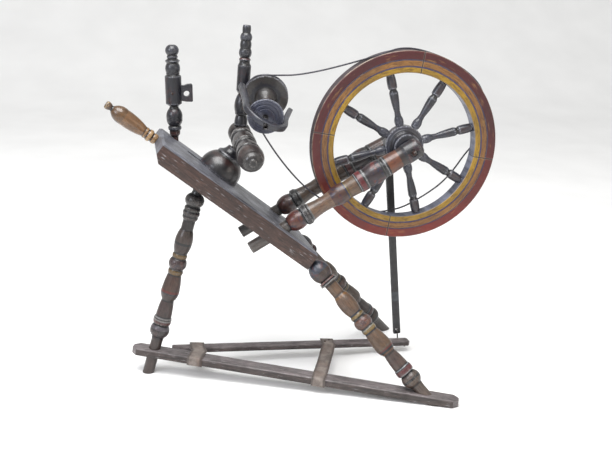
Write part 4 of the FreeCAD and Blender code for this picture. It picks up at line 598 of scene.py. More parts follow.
def smooth_path(points: Array, count: int) -> Array:
    """Uniform cubic B-spline through the neighbourhood of its control points.

    Each span is the sum of four control points with the weights (1-t)^3, 3t^3-6t^2+4, -3t^3+3t^2+3t+1 and t^3,
    over six; the end points are repeated so that the line starts and ends at them.

    Args:
        points: control points.
        count: number of points wanted.

    Returns:
        Points along the line.
    """
    knots = np.concatenate([points[:1], points[:1], points, points[-1:], points[-1:]])
    place = np.linspace(0, len(knots) - 3 - 1e-9, count)
    i = place.astype(int)
    t = (place - i)[:, None]
    weights = [(1 - t) ** 3, 3 * t ** 3 - 6 * t ** 2 + 4, -3 * t ** 3 + 3 * t ** 2 + 3 * t + 1, t ** 3]
    return sum(w * knots[i + k] for k, w in enumerate(weights)) / 6


class Graph:
    """A material's nodes, with short calls for the ones used here."""

    def __init__(self, name: str) -> None:
        """Makes an empty material with a surface shader."""
        self.material = bpy.data.materials.new(name)
        self.material.use_nodes = True
        self.tree = self.material.node_tree
        self.tree.nodes.clear()
        self.shader = self.tree.nodes.new("ShaderNodeBsdfPrincipled")
        end = self.tree.nodes.new("ShaderNodeOutputMaterial")
        self.tree.links.new(self.shader.outputs[0], end.inputs[0])

    def feed(self, socket: bpy.types.NodeSocket, value: object) -> None:
        """Links a socket, or sets its value."""
        if isinstance(value, bpy.types.NodeSocket):
            self.tree.links.new(value, socket)
        else:
            socket.default_value = value

    def local(self, axes: Axes) -> bpy.types.NodeSocket:
        """Object coordinates taken into a local frame, in millimetres."""
        source = self.tree.nodes.new("ShaderNodeTexCoord").outputs["Object"]
        node = self.tree.nodes.new("ShaderNodeMapping")
        node.vector_type = "TEXTURE"
        node.inputs["Location"].default_value = (axes.origin / 1000.0).tolist()
        node.inputs["Rotation"].default_value = axes.matrix().to_euler("XYZ")
        node.inputs["Scale"].default_value = (0.001, 0.001, 0.001)
        self.feed(node.inputs["Vector"], source)
        return node.outputs["Vector"]

    def uv(self) -> bpy.types.NodeSocket:
        """The piece's own UV map."""
        return self.tree.nodes.new("ShaderNodeTexCoord").outputs["UV"]

    def stretched(self, vector: bpy.types.NodeSocket, x: float, y: float, z: float) -> bpy.types.NodeSocket:
        """A vector with its parts multiplied."""
        node = self.tree.nodes.new("ShaderNodeVectorMath")
        node.operation = "MULTIPLY"
        self.feed(node.inputs[0], vector)
        node.inputs[1].default_value = (x, y, z)
        return node.outputs[0]

    def parts(self, vector: bpy.types.NodeSocket) -> list[bpy.types.NodeSocket]:
        """The three numbers of a vector."""
        node = self.tree.nodes.new("ShaderNodeSeparateXYZ")
        self.feed(node.inputs[0], vector)
        return list(node.outputs)

    def join(self, x: object, y: object, z: object) -> bpy.types.NodeSocket:
        """A vector from three numbers."""
        node = self.tree.nodes.new("ShaderNodeCombineXYZ")
        for socket, value in zip(node.inputs, (x, y, z)):
            self.feed(socket, value)
        return node.outputs[0]

    def math(self, operation: str, a: object, b: object = 0.0, c: object = 0.0) -> bpy.types.NodeSocket:
        """One arithmetic step."""
        node = self.tree.nodes.new("ShaderNodeMath")
        node.operation = operation
        for socket, value in zip(node.inputs, (a, b, c)):
            self.feed(socket, value)
        return node.outputs[0]

    def noise(self, vector: bpy.types.NodeSocket, scale: float, detail: float = 3.0, rough: float = 0.55,
              warp: float = 0.0) -> bpy.types.NodeSocket:
        """Soft noise from 0 to 1."""
        node = self.tree.nodes.new("ShaderNodeTexNoise")
        self.feed(node.inputs["Vector"], vector)
        for key, value in (("Scale", scale), ("Detail", detail), ("Roughness", rough), ("Distortion", warp)):
            node.inputs[key].default_value = value
        return node.outputs["Fac"]

    def cells(self, vector: bpy.types.NodeSocket, scale: float) -> bpy.types.NodeSocket:
        """Distance to the nearest of many scattered points."""
        node = self.tree.nodes.new("ShaderNodeTexVoronoi")
        self.feed(node.inputs["Vector"], vector)
        node.inputs["Scale"].default_value = scale
        return node.outputs["Distance"]

    def span(self, value: object, low: float, high: float, start: float = 0.0,
             end: float = 1.0) -> bpy.types.NodeSocket:
        """A number taken from one range to another and kept inside it."""
        node = self.tree.nodes.new("ShaderNodeMapRange")
        for socket, number in zip(node.inputs, (value, low, high, start, end)):
            self.feed(socket, number)
        return node.outputs[0]

    def ramp(self, value: object, stops: list[tuple[float, tuple]], steps: bool = False) -> bpy.types.Node:
        """Colours laid along a number; steps keeps each up to the next."""
        node = self.tree.nodes.new("ShaderNodeValToRGB")
        ramp = node.color_ramp
        ramp.interpolation = "CONSTANT" if steps else "LINEAR"
        ramp.elements[0].position, ramp.elements[0].color = stops[0]
        ramp.elements.remove(ramp.elements[1])
        for place, colour in stops[1:]:
            ramp.elements.new(place).color = colour
        self.feed(node.inputs[0], value)
        return node

    def mix(self, share: object, a: object, b: object, how: str = "MIX") -> bpy.types.NodeSocket:
        """Two colours mixed."""
        node = self.tree.nodes.new("ShaderNodeMix")
        node.data_type, node.blend_type = "RGBA", how
        for key, value in ((0, share), (6, a), (7, b)):
            self.feed(node.inputs[key], value)
        return node.outputs[2]

    def relief(self) -> bpy.types.NodeSocket:
        """The piece's own measure of what stands proud, from -1 to 1."""
        node = self.tree.nodes.new("ShaderNodeAttribute")
        node.attribute_name = "relief"
        return node.outputs["Fac"]

    def bump(self, height: bpy.types.NodeSocket, strength: float, reach: float) -> bpy.types.NodeSocket:
        """Surface normal tilted by a height, whose full depth is reach millimetres."""
        node = self.tree.nodes.new("ShaderNodeBump")
        node.inputs["Strength"].default_value = strength
        node.inputs["Distance"].default_value = reach / 1000.0
        self.feed(node.inputs["Height"], height)
        return node.outputs[0]

    def end(self, colour: object, rough: object, normal: object | None = None, metal: float = 0.0,
            coat: float = 0.0) -> bpy.types.Material:
        """Sets the surface and returns the material."""
        self.feed(self.shader.inputs["Base Color"], colour)
        self.feed(self.shader.inputs["Roughness"], rough)
        self.shader.inputs["Metallic"].default_value = metal
        self.shader.inputs["Coat Weight"].default_value = coat
        self.shader.inputs["Coat Roughness"].default_value = 0.16
        if normal is not None:
            self.feed(self.shader.inputs["Normal"], normal)
        return self.material


@dataclass(frozen=True)
class TurnedPaint:
    """Old painted and waxed turned wood: rings of colour along the axis, grain, patches, grime, worn crests with a
    painted highlight, and painted shade in the hollows.

    Each zone is the distance along the axis at which it ends, its colour and how far red and blue patches show.
    """

    zones: tuple[Zone, ...]
    dim: float = 1.0
    patch_red: str = "#8c2a26"
    patch_blue: str = "#26305a"
    # Colour of the proud crests: worn paint that also stands in as a painted highlight.
    worn: str = "#a39a94"
    grain: float = 0.5
    gloss: float = 0.36
    streak: float = 0.25

    def dress(self, name: str, axes: Axes) -> bpy.types.Material:
        """Material for a piece whose z axis is the axis of the lathe.

        Args:
            name: the material's name.
            axes: the piece's frame.

        Returns:
            The material.
        """
        g = Graph(name)
        place = g.local(axes)
        z = g.parts(place)[2]
        whole = self.zones[-1][0]
        drift = g.math("MULTIPLY", g.math("SUBTRACT", g.noise(place, 0.11, 2.0), 0.5), 1.6)
        along = g.math("DIVIDE", g.math("ADD", z, drift), whole)
        stops, start = [], 0.0
        for end, colour, patch in self.zones:
            stops.append((start / whole, (*tone(colour, self.dim)[:3], patch)))
            start = end
        rings = g.ramp(along, stops, True)
        colour = rings.outputs["Color"]
        blotch = g.noise(place, 0.045, 3.0, 0.6, 0.8)
        red = g.math("MULTIPLY", g.span(blotch, 0.54, 0.60), rings.outputs["Alpha"])
        blue = g.math("MULTIPLY", g.span(g.noise(g.stretched(place, 1, 1, 1.3), 0.052, 3.0, 0.6, 0.5), 0.53, 0.60),
                      rings.outputs["Alpha"])
        colour = g.mix(red, colour, tone(self.patch_red, self.dim))
        colour = g.mix(g.math("MULTIPLY", blue, 0.8), colour, tone(self.patch_blue, self.dim))
        fibre = g.noise(g.stretched(place, 1, 1, 0.09), 0.55, 5.0, 0.65)
        colour = g.mix(1.0, colour, g.ramp(fibre, [(0.25, tone("#8a8a8a")), (0.55, tone("#ffffff")),
                                                   (0.8, tone("#ffffff", 1.0 + self.streak))]).outputs[0], "MULTIPLY")
        cloud = g.noise(place, 0.03, 4.0, 0.6)
        colour = g.mix(g.span(cloud, 0.35, 0.72, 0.0, 0.55), colour, tone("#17120f", self.dim), "MIX")
        relief = g.relief()
        # Proud crests lightened towards the worn colour: partly worn paint, partly a painted highlight.
        crest = g.math("MULTIPLY", g.span(relief, 0.25, 0.9), g.span(g.noise(place, 0.35, 4.0), 0.42, 0.62))
        colour = g.mix(g.math("MULTIPLY", crest, 0.55), colour, tone(self.worn, self.dim))
        # Painted shade: the hollows between the beads are darkened almost to black.
        hollow = g.span(relief, -0.15, -0.8, 0.0, 0.85)
        colour = g.mix(hollow, colour, tone("#0c0a0b"))
        nick = g.span(g.noise(g.stretched(place, 1, 1, 0.35), 1.1, 2.0, 0.5), 0.72, 0.78)
        colour = g.mix(g.math("MULTIPLY", nick, 0.5), colour, tone("#c9bfb4", self.dim))
        rough = g.span(g.noise(place, 0.12, 4.0, 0.6), 0.3, 0.7, self.gloss, self.gloss + 0.24)
        marks = g.noise(g.join(0.0, 0.0, z), 0.9, 2.0)
        height = g.math("ADD", g.math("MULTIPLY", fibre, self.grain), g.math("MULTIPLY", marks, 0.22))
        height = g.math("SUBTRACT", height, g.math("MULTIPLY", nick, 0.5))
        return g.end(colour, rough, g.bump(height, 0.55, 0.5), coat=0.35)


@dataclass(frozen=True)
class BoardPaint:
    """Weathered board: streaked top with a painted blue-grey reflection, near side darker as painted shade, a worn
    upper edge, and dark patches of dirt.
    """

    # The top colours hold a painted reflection of the sky; the side colours are darker as painted shade.
    top: str
    top_light: str
    side: str
    side_light: str
    edge: str
    near_side: float
    top_height: float
    gloss: float = 0.42
    streak: float = 1.0

    def dress(self, name: str, axes: Axes) -> bpy.types.Material:
        """Material for a board whose frame has x along the grain and z out of its top.

        Args:
            name: the material's name.
            axes: the board's frame.

        Returns:
            The material.
        """
        g = Graph(name)
        place = g.local(axes)
        _, y, z = g.parts(place)
        wavy = g.noise(g.stretched(place, 0.02, 0.16, 0.16), 1.0, 5.0, 0.62, 0.7)
        fine = g.noise(g.stretched(place, 0.05, 1.0, 1.0), 0.9, 5.0, 0.7)
        patch = g.noise(place, 0.018, 4.0, 0.6)
        # Painted reflection and shade: the top colours carry a pale blue-grey reflection, and the near side takes
        # darker colours for its shade.
        upper = g.mix(g.span(wavy, 0.36, 0.66), tone(self.top), tone(self.top_light))
        lower = g.mix(g.span(wavy, 0.38, 0.66), tone(self.side), tone(self.side_light))
        near = g.span(y, self.near_side + 0.9, self.near_side + 0.3)
        colour = g.mix(near, upper, lower)
        rim = g.math("MULTIPLY", near, g.span(z, self.top_height - 4.5, self.top_height - 0.6))
        colour = g.mix(g.math("MULTIPLY", rim, g.span(fine, 0.35, 0.6)), colour, tone(self.edge))
        colour = g.mix(1.0, colour, g.ramp(fine, [(0.28, tone("#6f6f6f")), (0.56, tone("#ffffff"))]).outputs[0],
                       "MULTIPLY")
        colour = g.mix(g.span(patch, 0.42, 0.74, 0.0, 0.6 * self.streak), colour, tone("#1d1715"))
        scuff = g.span(g.noise(g.stretched(place, 0.06, 0.5, 0.5), 0.7, 3.0), 0.62, 0.72)
        colour = g.mix(g.math("MULTIPLY", scuff, 0.4), colour, tone("#b7b4b6"))
        crack = g.span(g.noise(g.stretched(place, 0.008, 0.5, 0.5), 1.0, 2.0, 0.5, 0.3), 0.30, 0.27)
        colour = g.mix(g.math("MULTIPLY", crack, 0.8), colour, tone("#0d0b0b"))
        rough = g.span(patch, 0.3, 0.7, self.gloss, self.gloss + 0.25)
        height = g.math("SUBTRACT", g.math("MULTIPLY", fine, 0.8), crack)
        return g.end(colour, rough, g.bump(height, 0.6, 0.6), coat=0.1)


@dataclass(frozen=True)
class RimPaint:
    """Painted felloe: red, ochre and yellow bands parted by blue lines, with dark wood on its other sides; the red band
    carries a painted highlight towards the wheel's lower side, and a painted highlight runs beside each joint.
    """

    bands: tuple[tuple[float, str], ...] = (
        (190.2, "#8f6f18"), (193.9, "#22264e"), (206.1, "#7d5628"), (209.9, "#1e2040"), (240.0, "#431114"))
    joint_angle: float = 82.0

    def dress(self, name: str, axes: Axes) -> bpy.types.Material:
        """Material for the ring, whose frame has the axle as its z axis.

        Args:
            name: the material's name.
            axes: the wheel's frame.

        Returns:
            The material.
        """
        g = Graph(name)
        place = g.local(axes)
        x, y, z = g.parts(place)
        flat = g.join(x, y, 0.0)
        node = g.tree.nodes.new("ShaderNodeVectorMath")
        node.operation = "LENGTH"
        g.feed(node.inputs[0], flat)
        radius = node.outputs["Value"]
        angle = g.math("ARCTAN2", y, x)
        swept = g.join(g.math("MULTIPLY", g.math("COSINE", angle), 60.0),
                       g.math("MULTIPLY", g.math("SINE", angle), 60.0), g.math("MULTIPLY", radius, 1.6))
        hand = g.math("MULTIPLY", g.math("SUBTRACT", g.noise(place, 0.05, 3.0), 0.5), 1.8)
        stops, start = [], 170.0
        for end, colour in self.bands:
            stops.append(((start - 170.0) / 70.0, tone(colour)))
            start = end
        paint = g.ramp(g.span(g.math("ADD", radius, hand), 170.0, 240.0), stops, True).outputs[0]
        streak = g.noise(swept, 0.16, 5.0, 0.7, 0.6)
        paint = g.mix(g.span(streak, 0.46, 0.66, 0.0, 0.7), paint, tone("#33160f"))
        paint = g.mix(g.span(g.noise(swept, 0.09, 4.0, 0.6), 0.58, 0.72, 0.0, 0.4), paint, tone("#a8834a"), "MIX")
        wide = g.noise(place, 0.006, 3.0, 0.6)
        # Painted highlight: the outer red band is mixed towards a brighter red, growing from just above the hub to the
        # bottom of the wheel.
        bright = g.mix(0.55, paint, tone("#8c2814"))
        outer = g.math("MULTIPLY", g.span(radius, 208.0, 210.5), g.span(y, -60.0, 210.0))
        paint = g.mix(g.math("MULTIPLY", outer, 0.75), paint, bright)
        paint = g.mix(g.span(wide, 0.45, 0.62, 0.0, 0.35), paint, tone("#2b1a1c"))
        fleck = g.span(g.noise(place, 0.5, 4.0, 0.6), 0.66, 0.72)
        paint = g.mix(g.math("MULTIPLY", fleck, 0.75), paint, tone("#1a1214"))
        wood = g.mix(g.span(g.noise(swept, 0.12, 5.0, 0.7), 0.35, 0.66), tone("#2d3040"), tone("#6f7282"))
        wood = g.mix(g.span(radius, 181.0, 215.0), wood, tone("#3a3134"))
        face = g.span(z, -16.2, -17.0)
        colour = g.mix(face, wood, paint)
        edge = g.math("MULTIPLY", g.span(z, -17.9, -17.2), g.span(z, -14.6, -15.6))
        colour = g.mix(g.math("MULTIPLY", edge, g.span(streak, 0.42, 0.6, 0.1, 0.7)), colour, tone("#9c8b78"))
        turn = g.math("DIVIDE", g.math("SUBTRACT", angle, math.radians(-self.joint_angle)), math.pi / 2)
        off = g.math("ABSOLUTE", g.math("SUBTRACT", turn, g.math("ROUND", turn)))
        gap = g.math("MULTIPLY", off, radius)
        # Painted highlight: a faint light line on the painted face beside each joint; the dark line below is the joint
        # itself.
        colour = g.mix(g.math("MULTIPLY", g.span(gap, 2.0, 1.2, 0.0, 0.12), face), colour, tone("#a8a090"))
        colour = g.mix(g.span(gap, 0.75, 0.45), colour, tone("#0d0a0b"))
        rough = g.span(g.noise(place, 0.09, 4.0), 0.3, 0.7, 0.36, 0.62)
        height = g.math("SUBTRACT", g.math("MULTIPLY", streak, 0.7), g.math("ADD", g.span(gap, 0.8, 0.4), fleck))
        return g.end(colour, rough, g.bump(height, 0.5, 0.6), coat=0.1)


@dataclass(frozen=True)
class OldIron:
    """Hand-forged iron: dark scale mottled with rust, and bright rubbed places."""

    base: str = "#2b2a2c"
    bright: str = "#8e8d8c"
    rust: str = "#4a2a1c"
    gloss: float = 0.34

    def dress(self, name: str, axes: Axes) -> bpy.types.Material:
        """Material for an iron piece; axes only centres its pattern."""
        g = Graph(name)
        place = g.local(axes)
        mottle = g.noise(place, 0.3, 5.0, 0.65)
        colour = g.mix(g.span(mottle, 0.4, 0.62), tone(self.base), tone(self.rust))
        rub = g.span(g.noise(place, 0.16, 4.0, 0.6), 0.52, 0.66)
        colour = g.mix(g.math("MULTIPLY", rub, 0.8), colour, tone(self.bright))
        pits = g.noise(place, 1.4, 3.0)
        return g.end(colour, g.span(mottle, 0.3, 0.7, self.gloss, self.gloss + 0.3), g.bump(pits, 0.4, 0.3), 0.85)


@dataclass(frozen=True)
class OldLeather:
    """Dry strap leather: pored grain, creases across it, scuffs and a dark cut edge."""

    base: str = "#5c534d"
    light: str = "#857b74"
    dark: str = "#2c2523"

    def dress(self, name: str, axes: Axes) -> bpy.types.Material:
        """Material for a strap with a UV map of metres across and along and wear on its edges."""
        g = Graph(name)
        place = g.local(axes)
        u, v, _ = g.parts(g.uv())
        strip = g.join(g.math("MULTIPLY", u, 1000.0), g.math("MULTIPLY", v, 1000.0), 0.0)
        cloud = g.noise(place, 0.06, 4.0, 0.6)
        colour = g.mix(g.span(cloud, 0.36, 0.66), tone(self.base), tone(self.light))
        pores = g.cells(place, 1.5)
        crease = g.noise(g.stretched(strip, 0.12, 1.0, 1.0), 0.22, 4.0, 0.6)
        colour = g.mix(g.span(crease, 0.38, 0.28, 0.0, 0.6), colour, tone(self.dark))
        colour = g.mix(g.span(pores, 0.35, 0.1, 0.0, 0.35), colour, tone(self.dark))
        colour = g.mix(g.span(g.noise(place, 0.022, 3.0), 0.5, 0.72, 0.0, 0.5), colour, tone("#5a3d2e"))
        colour = g.mix(g.span(g.relief(), 0.2, 0.8, 0.0, 0.8), colour, tone(self.dark))
        height = g.math("ADD", g.math("MULTIPLY", pores, 0.5), g.math("MULTIPLY", crease, 1.2))
        return g.end(colour, g.span(cloud, 0.3, 0.7, 0.5, 0.72), g.bump(height, 0.5, 0.5))


@dataclass(frozen=True)
class WornTwine:
    """Dark greasy cotton twine: fibres along each strand."""

    base: str = "#232127"
    light: str = "#5d5b63"

    def dress(self, name: str, axes: Axes) -> bpy.types.Material:
        """Material for the band's strands."""
        g = Graph(name)
        place = g.local(axes)
        fuzz = g.noise(place, 1.6, 4.0, 0.7)
        long_wear = g.noise(place, 0.02, 3.0)
        colour = g.mix(g.span(fuzz, 0.35, 0.68), tone(self.base), tone(self.light))
        colour = g.mix(g.span(long_wear, 0.4, 0.7, 0.0, 0.6), colour, tone("#16141a"))
        return g.end(colour, 0.75, g.bump(fuzz, 0.5, 0.25))


@dataclass(frozen=True)
class PaleFloor:
    """Plain pale studio floor."""

    base: str = "#f1f1f0"

    def dress(self, name: str) -> bpy.types.Material:
        """Material for the floor, with a very faint unevenness."""
        g = Graph(name)
        source = g.tree.nodes.new("ShaderNodeTexCoord").outputs["Object"]
        faint = g.noise(source, 3.0, 2.0)
        return g.end(g.mix(g.span(faint, 0.3, 0.7), tone(self.base), tone("#f7f7f6")), 0.9)


def rings(base: float, rows: list[tuple[float, str, float]]) -> tuple[Zone, ...]:
    """Zones whose ends are given from a base height."""
    return tuple((base + end, colour, patch) for end, colour, patch in rows)


def install(made: bpy.types.Object, nodes: list[str], body: Body | None,
            material: bpy.types.Material) -> None:
    """Dresses a piece, makes it stand for CAD nodes and lets it move with a body.

    Args:
        made: the piece.
        nodes: the CAD nodes that it stands for.
        body: the body that it rides on, or None to leave it unattached.
        material: its material.
    """
    made.data.materials.clear()
    made.data.materials.append(material)
    if body:
        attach(made, body.value)
    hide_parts(*nodes)
    log.info("%s: %d faces, rides on %s", made.name, len(made.data.polygons), body.value if body else "two bodies")


def keep_solid(nodes: list[str], material: bpy.types.Material) -> None:
    """Gives CAD nodes whose shape is right a finished material."""
    for node in nodes:
        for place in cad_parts[node].material_slots:
            place.material = material
        log.info("%s: kept, %s", node, material.name)


@dataclass
class Stand:
    """Table, legs, wheel posts and the bar between the feet."""

    leg: list[Step] = field(default_factory=lambda: [
        (10, 15.5, 0), (33, 17, 7.5), (2, 21, 0), (17, 21, 1.2), (2, 19.5, 0), (44, 15, .8), (20, 22.5, 1.2),
        (48, 16.5, 1.2), (14, 16.5, 2), (28, 16.5, 5.5), (13, 16, 2), (61, 15, 6)])
    left_top: list[Step] = field(default_factory=lambda: [
        (12, 18.5, 2), (12, 18.5, 2.2), (12, 16, 2.2), (30, 13, 8.5)])
    splay_top: list[Step] = field(default_factory=lambda: [
        (1.5, 22, 0), (4.5, 22, 1.5), (1, 20.5, 0), (4.5, 21, 1.5), (1, 17, 0), (50, 14, 10)])
    post: list[Step] = field(default_factory=lambda: [
        (12, 24, 2.5), (30, 25, .5), (20, 22.5, -1), (33, 24.5, 0), (5, 25.4, 0), (5, 23.5, 0), (5, 25.4, 0),
        (42, 23.5, 2.5), (6, 25.5, 0), (14, 25.5, 0), (6, 23.5, 0), (26, 21.5, 0), (8, 23.5, 0), (34, 20.5, 2.5),
        (62, 22.5, -3), (5, 26, 0), (10, 26, 0), (4, 21, 0), (38, 17, 5), (2, 14.5, 0)])
    foot_extra: float = 16.0
    heel: float = 16.0
    table_size: Array = field(default_factory=lambda: vec(452.6, 199.2, 44.7))

    def left_leg(self) -> None:
        """The leg under the screw's end, dark brown with ochre and white rings."""
        base = self.foot_extra + 88
        reach = float(np.linalg.norm(TABLE.out(vec(140, 0, -44.7)) - LEFT_FOOT)) + 34
        used = 88 + sum(s[0] for s in self.leg) + 24 + sum(s[0] for s in self.left_top) + 6.5
        steps = [(base, 14, 0), *self.leg, (24, 15, 0), *self.left_top, (6.5, 11, 0), (reach - used, 11, 0)]
        zones = rings(base, [
            (4, "#5e4a42", 0), (26, "#3a3036", .3), (30, "#101014", 0), (43, "#77717c", .25), (46, "#3c2a2c", 0),
            (53, "#7a2226", .1), (56, "#cfc9c6", 0), (59.5, "#121216", 0), (63, "#c9c4c3", 0), (65, "#19171b", 0),
            (108, "#6a4f49", .12), (124, "#5a4238", 0), (129, "#15172a", 0), (134, "#93301f", 0),
            (176, "#6e4a38", .1), (187, "#957029", 0), (190.5, "#cbbfae", 0), (218, "#512d30", .45),
            (228, "#957029", 0), (231.5, "#c9bfb2", 0), (254, "#523a31", 0), (259, "#141318", 0),
            (292, "#6a574c", .1), (318, "#3f322e", 0), (340, "#2b2628", .1), (343, "#59544a", 0), (420, "#231f22", .1)])
        self.stand_leg("left_leg", LEFT_FOOT, LEFT_RUN, steps, TurnedPaint(zones, 0.34, worn="#b5a49a"))

    def splayed_leg(self, side: int) -> None:
        """One of the two legs under the wheel.

        Args:
            side: -1 for the front leg, 1 for the back leg.
        """
        base = self.foot_extra + 50.5
        shaft = 34.5 if side < 0 else 59.5
        run, foot = SPLAY_RUN[side], SPLAY_FOOT[side]
        size = self.table_size
        normal = TABLE.out(vec(size[1] - 24, 34, 0)) - TABLE.origin
        end = TABLE.out(vec(size[0], 24 - size[1] / 2, 0))
        reach = float((end - foot) @ normal / (run @ normal)) + 34
        used = 50.5 + sum(s[0] for s in self.leg) + shaft + sum(s[0] for s in self.splay_top) + 2
        steps = [(base, 14, 0), *self.leg, (shaft, 15, 0), *self.splay_top, (2, 11, 0), (reach - used, 11, 0)]
        top = 292 + shaft
        zones = rings(base, [
            (8, "#8f7a6e", 0), (22, "#80654f", .2), (28, "#12131c", 0), (41, "#7a6455", .25), (44, "#15151a", 0),
            (47, "#cdd0d6", 0), (58, "#8e2b33", .2), (60, "#15151a", 0), (63, "#ccd0d8", 0), (65, "#15151a", 0),
            (106, "#806459", .15), (114, "#a4652f", 0), (119, "#15161f", 0), (124, "#962c22", 0),
            (172, "#9b7656", .12), (176, "#2b3262", 0), (184, "#b78f28", 0), (187, "#d0c9b2", 0), (190.5, "#15161c", 0),
            (217, "#9a5a38", .55), (221, "#12131a", 0), (229.5, "#b78f28", 0), (233, "#28347a", 0),
            (282, "#9b7658", .12), (289, "#b57c3c", 0), (top, "#a07b5c", .1), (top + 3, "#d3d6dc", 0),
            (top + 6.5, "#14141a", 0), (top + 11.5, "#a8402a", .3), (top + 13, "#cfc4bd", 0),
            (top + 34, "#62493c", .5), (top + 110, "#4a5266", .5)])
        # The back leg takes the same rings at about half the front leg's brightness and a darker worn colour: painted
        # shade.
        paint = TurnedPaint(zones, 0.33, worn="#cfc8c2") if side < 0 else TurnedPaint(zones, 0.16, worn="#8f8a88")
        self.stand_leg("front_leg" if side < 0 else "back_leg", foot, run, steps, paint)

    def stand_leg(self, node: str, foot: Array, run: Array, steps: list[Step], paint: TurnedPaint) -> None:
        """Turns a leg, cuts its foot level with the floor, and dresses it.

        Args:
            node: the leg's CAD node.
            foot: the point where its axis meets the floor.
            run: direction of its axis, upwards.
            steps: its turned features.
            paint: its finish.
        """
        axes = aim(foot - run * self.foot_extra, run)
        made = lathe(turned_line(14.0, steps), axes, 56, 0.95, 2).piece(node + "_turned")
        ground = Axes(vec(foot[0], foot[1], 0), vec(1, 0, 0), vec(0, 1, 0), vec(0, 0, 1))
        cut_by(made, [box(ground, vec(-90, -90, -60), vec(90, 90, 0))])
        install(made, [node], Body.FRAME, paint.dress(node + "_paint", axes))

    def wheel_post(self, side: int) -> None:
        """One of the two raked posts that carry the axle.

        Args:
            side: -1 for the near post, 1 for the far post.
        """
        tail = 106 if side < 0 else 113
        axes = aim(at(0, side * 70.4, 580.2) - POST_RUN * 27, POST_RUN)
        steps = [*self.post, (tail, 14.5, 0)]
        zones = rings(0, [
            (47, "#24252f", .35), (60, "#4a342c", .1), (93, "#a8603a", .25), (96.5, "#15151a", 0),
            (98.5, "#b5b8c0", 0), (105, "#141419", 0), (107, "#b5b8c0", 0), (111, "#15151a", 0),
            (152, "#4c343a", 1.0), (154.5, "#dcdde0", 0), (158.5, "#101014", 0), (171, "#a3202c", .1),
            (173, "#101014", 0), (175.5, "#dcdde0", 0), (178.5, "#121217", 0), (202, "#ab8462", .15),
            (206, "#c79d28", 0), (210, "#1f2a63", 0), (246, "#7e4c3a", .8), (304, "#ac8567", .15),
            (308, "#cdccca", 0), (321, "#14141b", .1), (324.5, "#b4b7bd", 0), (328, "#141419", 0),
            (366, "#8a4a36", .75), (520, "#8b8078", .1)])
        # The far post takes the same rings at about half the near post's brightness: painted shade.
        dim = 0.33 if side < 0 else 0.16
        name = "near_post" if side < 0 else "far_post"
        made = lathe(turned_line(13.0, steps), axes, 72, 0.9, 2).piece(name + "_turned")
        if side < 0:
            middle = at(0, side * 70.4, 580.2)
            sink = Axes(middle - vec(0, 30, 0), vec(1, 0, 0), vec(0, 0, -1), vec(0, 1, 0))
            cut_by(made, [rod(10.0, 9.0, sink, 40, 0.3)])
        # The far post's darker worn colour is painted shade as well.
        paint = TurnedPaint(zones, dim, gloss=0.32, worn="#cfc8c4" if side < 0 else "#8b8784")
        install(made, [name], Body.FRAME, paint.dress(name + "_paint", axes))

    def table(self) -> None:
        """The sloping plank: bevelled round its top, cut away at the lower left, with the screw block's slot."""
        length, width, thick = self.table_size
        half = width / 2
        skin = plank([(0, -half), (length, -half), (length, 24 - half), (length - 34, half), (0, half)],
                     -thick, 0.0, TABLE, 5.0)
        made = skin.piece("table_plank")
        heel = Axes(TABLE.out(vec(0, 0, -thick + self.heel)), unit(DOWN - OUT), vec(0, 1, 0), unit(DOWN + OUT))
        cut_by(made, [box(TABLE, vec(76, 20, -60), vec(197, 40, 20))])
        cut_by(made, [box(heel, vec(-60, -140, -60), vec(60, 140, 0))])
        cut_by(made, [rod(8.3, 90, aim(TABLE.out(vec(-6, 30, -22.35)), DOWN), 32, 0.2)])
        eased(made, 1.3)
        # Blue-grey top with a painted reflection, darker brown near side as painted shade.
        paint = BoardPaint("#4a4b52", "#74767f", "#33221d", "#4f372e", "#6e3822", -half, 0.0, 0.38)
        install(made, ["table"], Body.FRAME, paint.dress("table_wood", TABLE))

    def front_bar(self) -> None:
        """The bar between the front feet, worn grey, with its corners cut."""
        low, high, half, nip = -53.0, BAR_SPAN + 76, 20.0, 13.0
        skin = plank([(low, nip - half), (low + nip, -half), (high - nip, -half), (high, nip - half),
                      (high, half - nip), (high - nip, half), (low + nip, half), (low, half - nip)],
                     -9, 9, BAR, 2.2, 24)
        made = skin.piece("front_bar_board")
        eased(made, 1.6)
        # Lighter top with a painted reflection, darker near side as painted shade.
        paint = BoardPaint("#54504f", "#84797a", "#2b2524", "#574a46", "#7a7274", -20.0, 9.0, 0.42)
        install(made, ["front_bar"], Body.FRAME, paint.dress("front_bar_wood", BAR))

    def build(self) -> None:
        """Builds every piece of the stand."""
        self.table()
        self.left_leg()
        for side in (-1, 1):
            self.splayed_leg(side)
            self.wheel_post(side)
        self.front_bar()


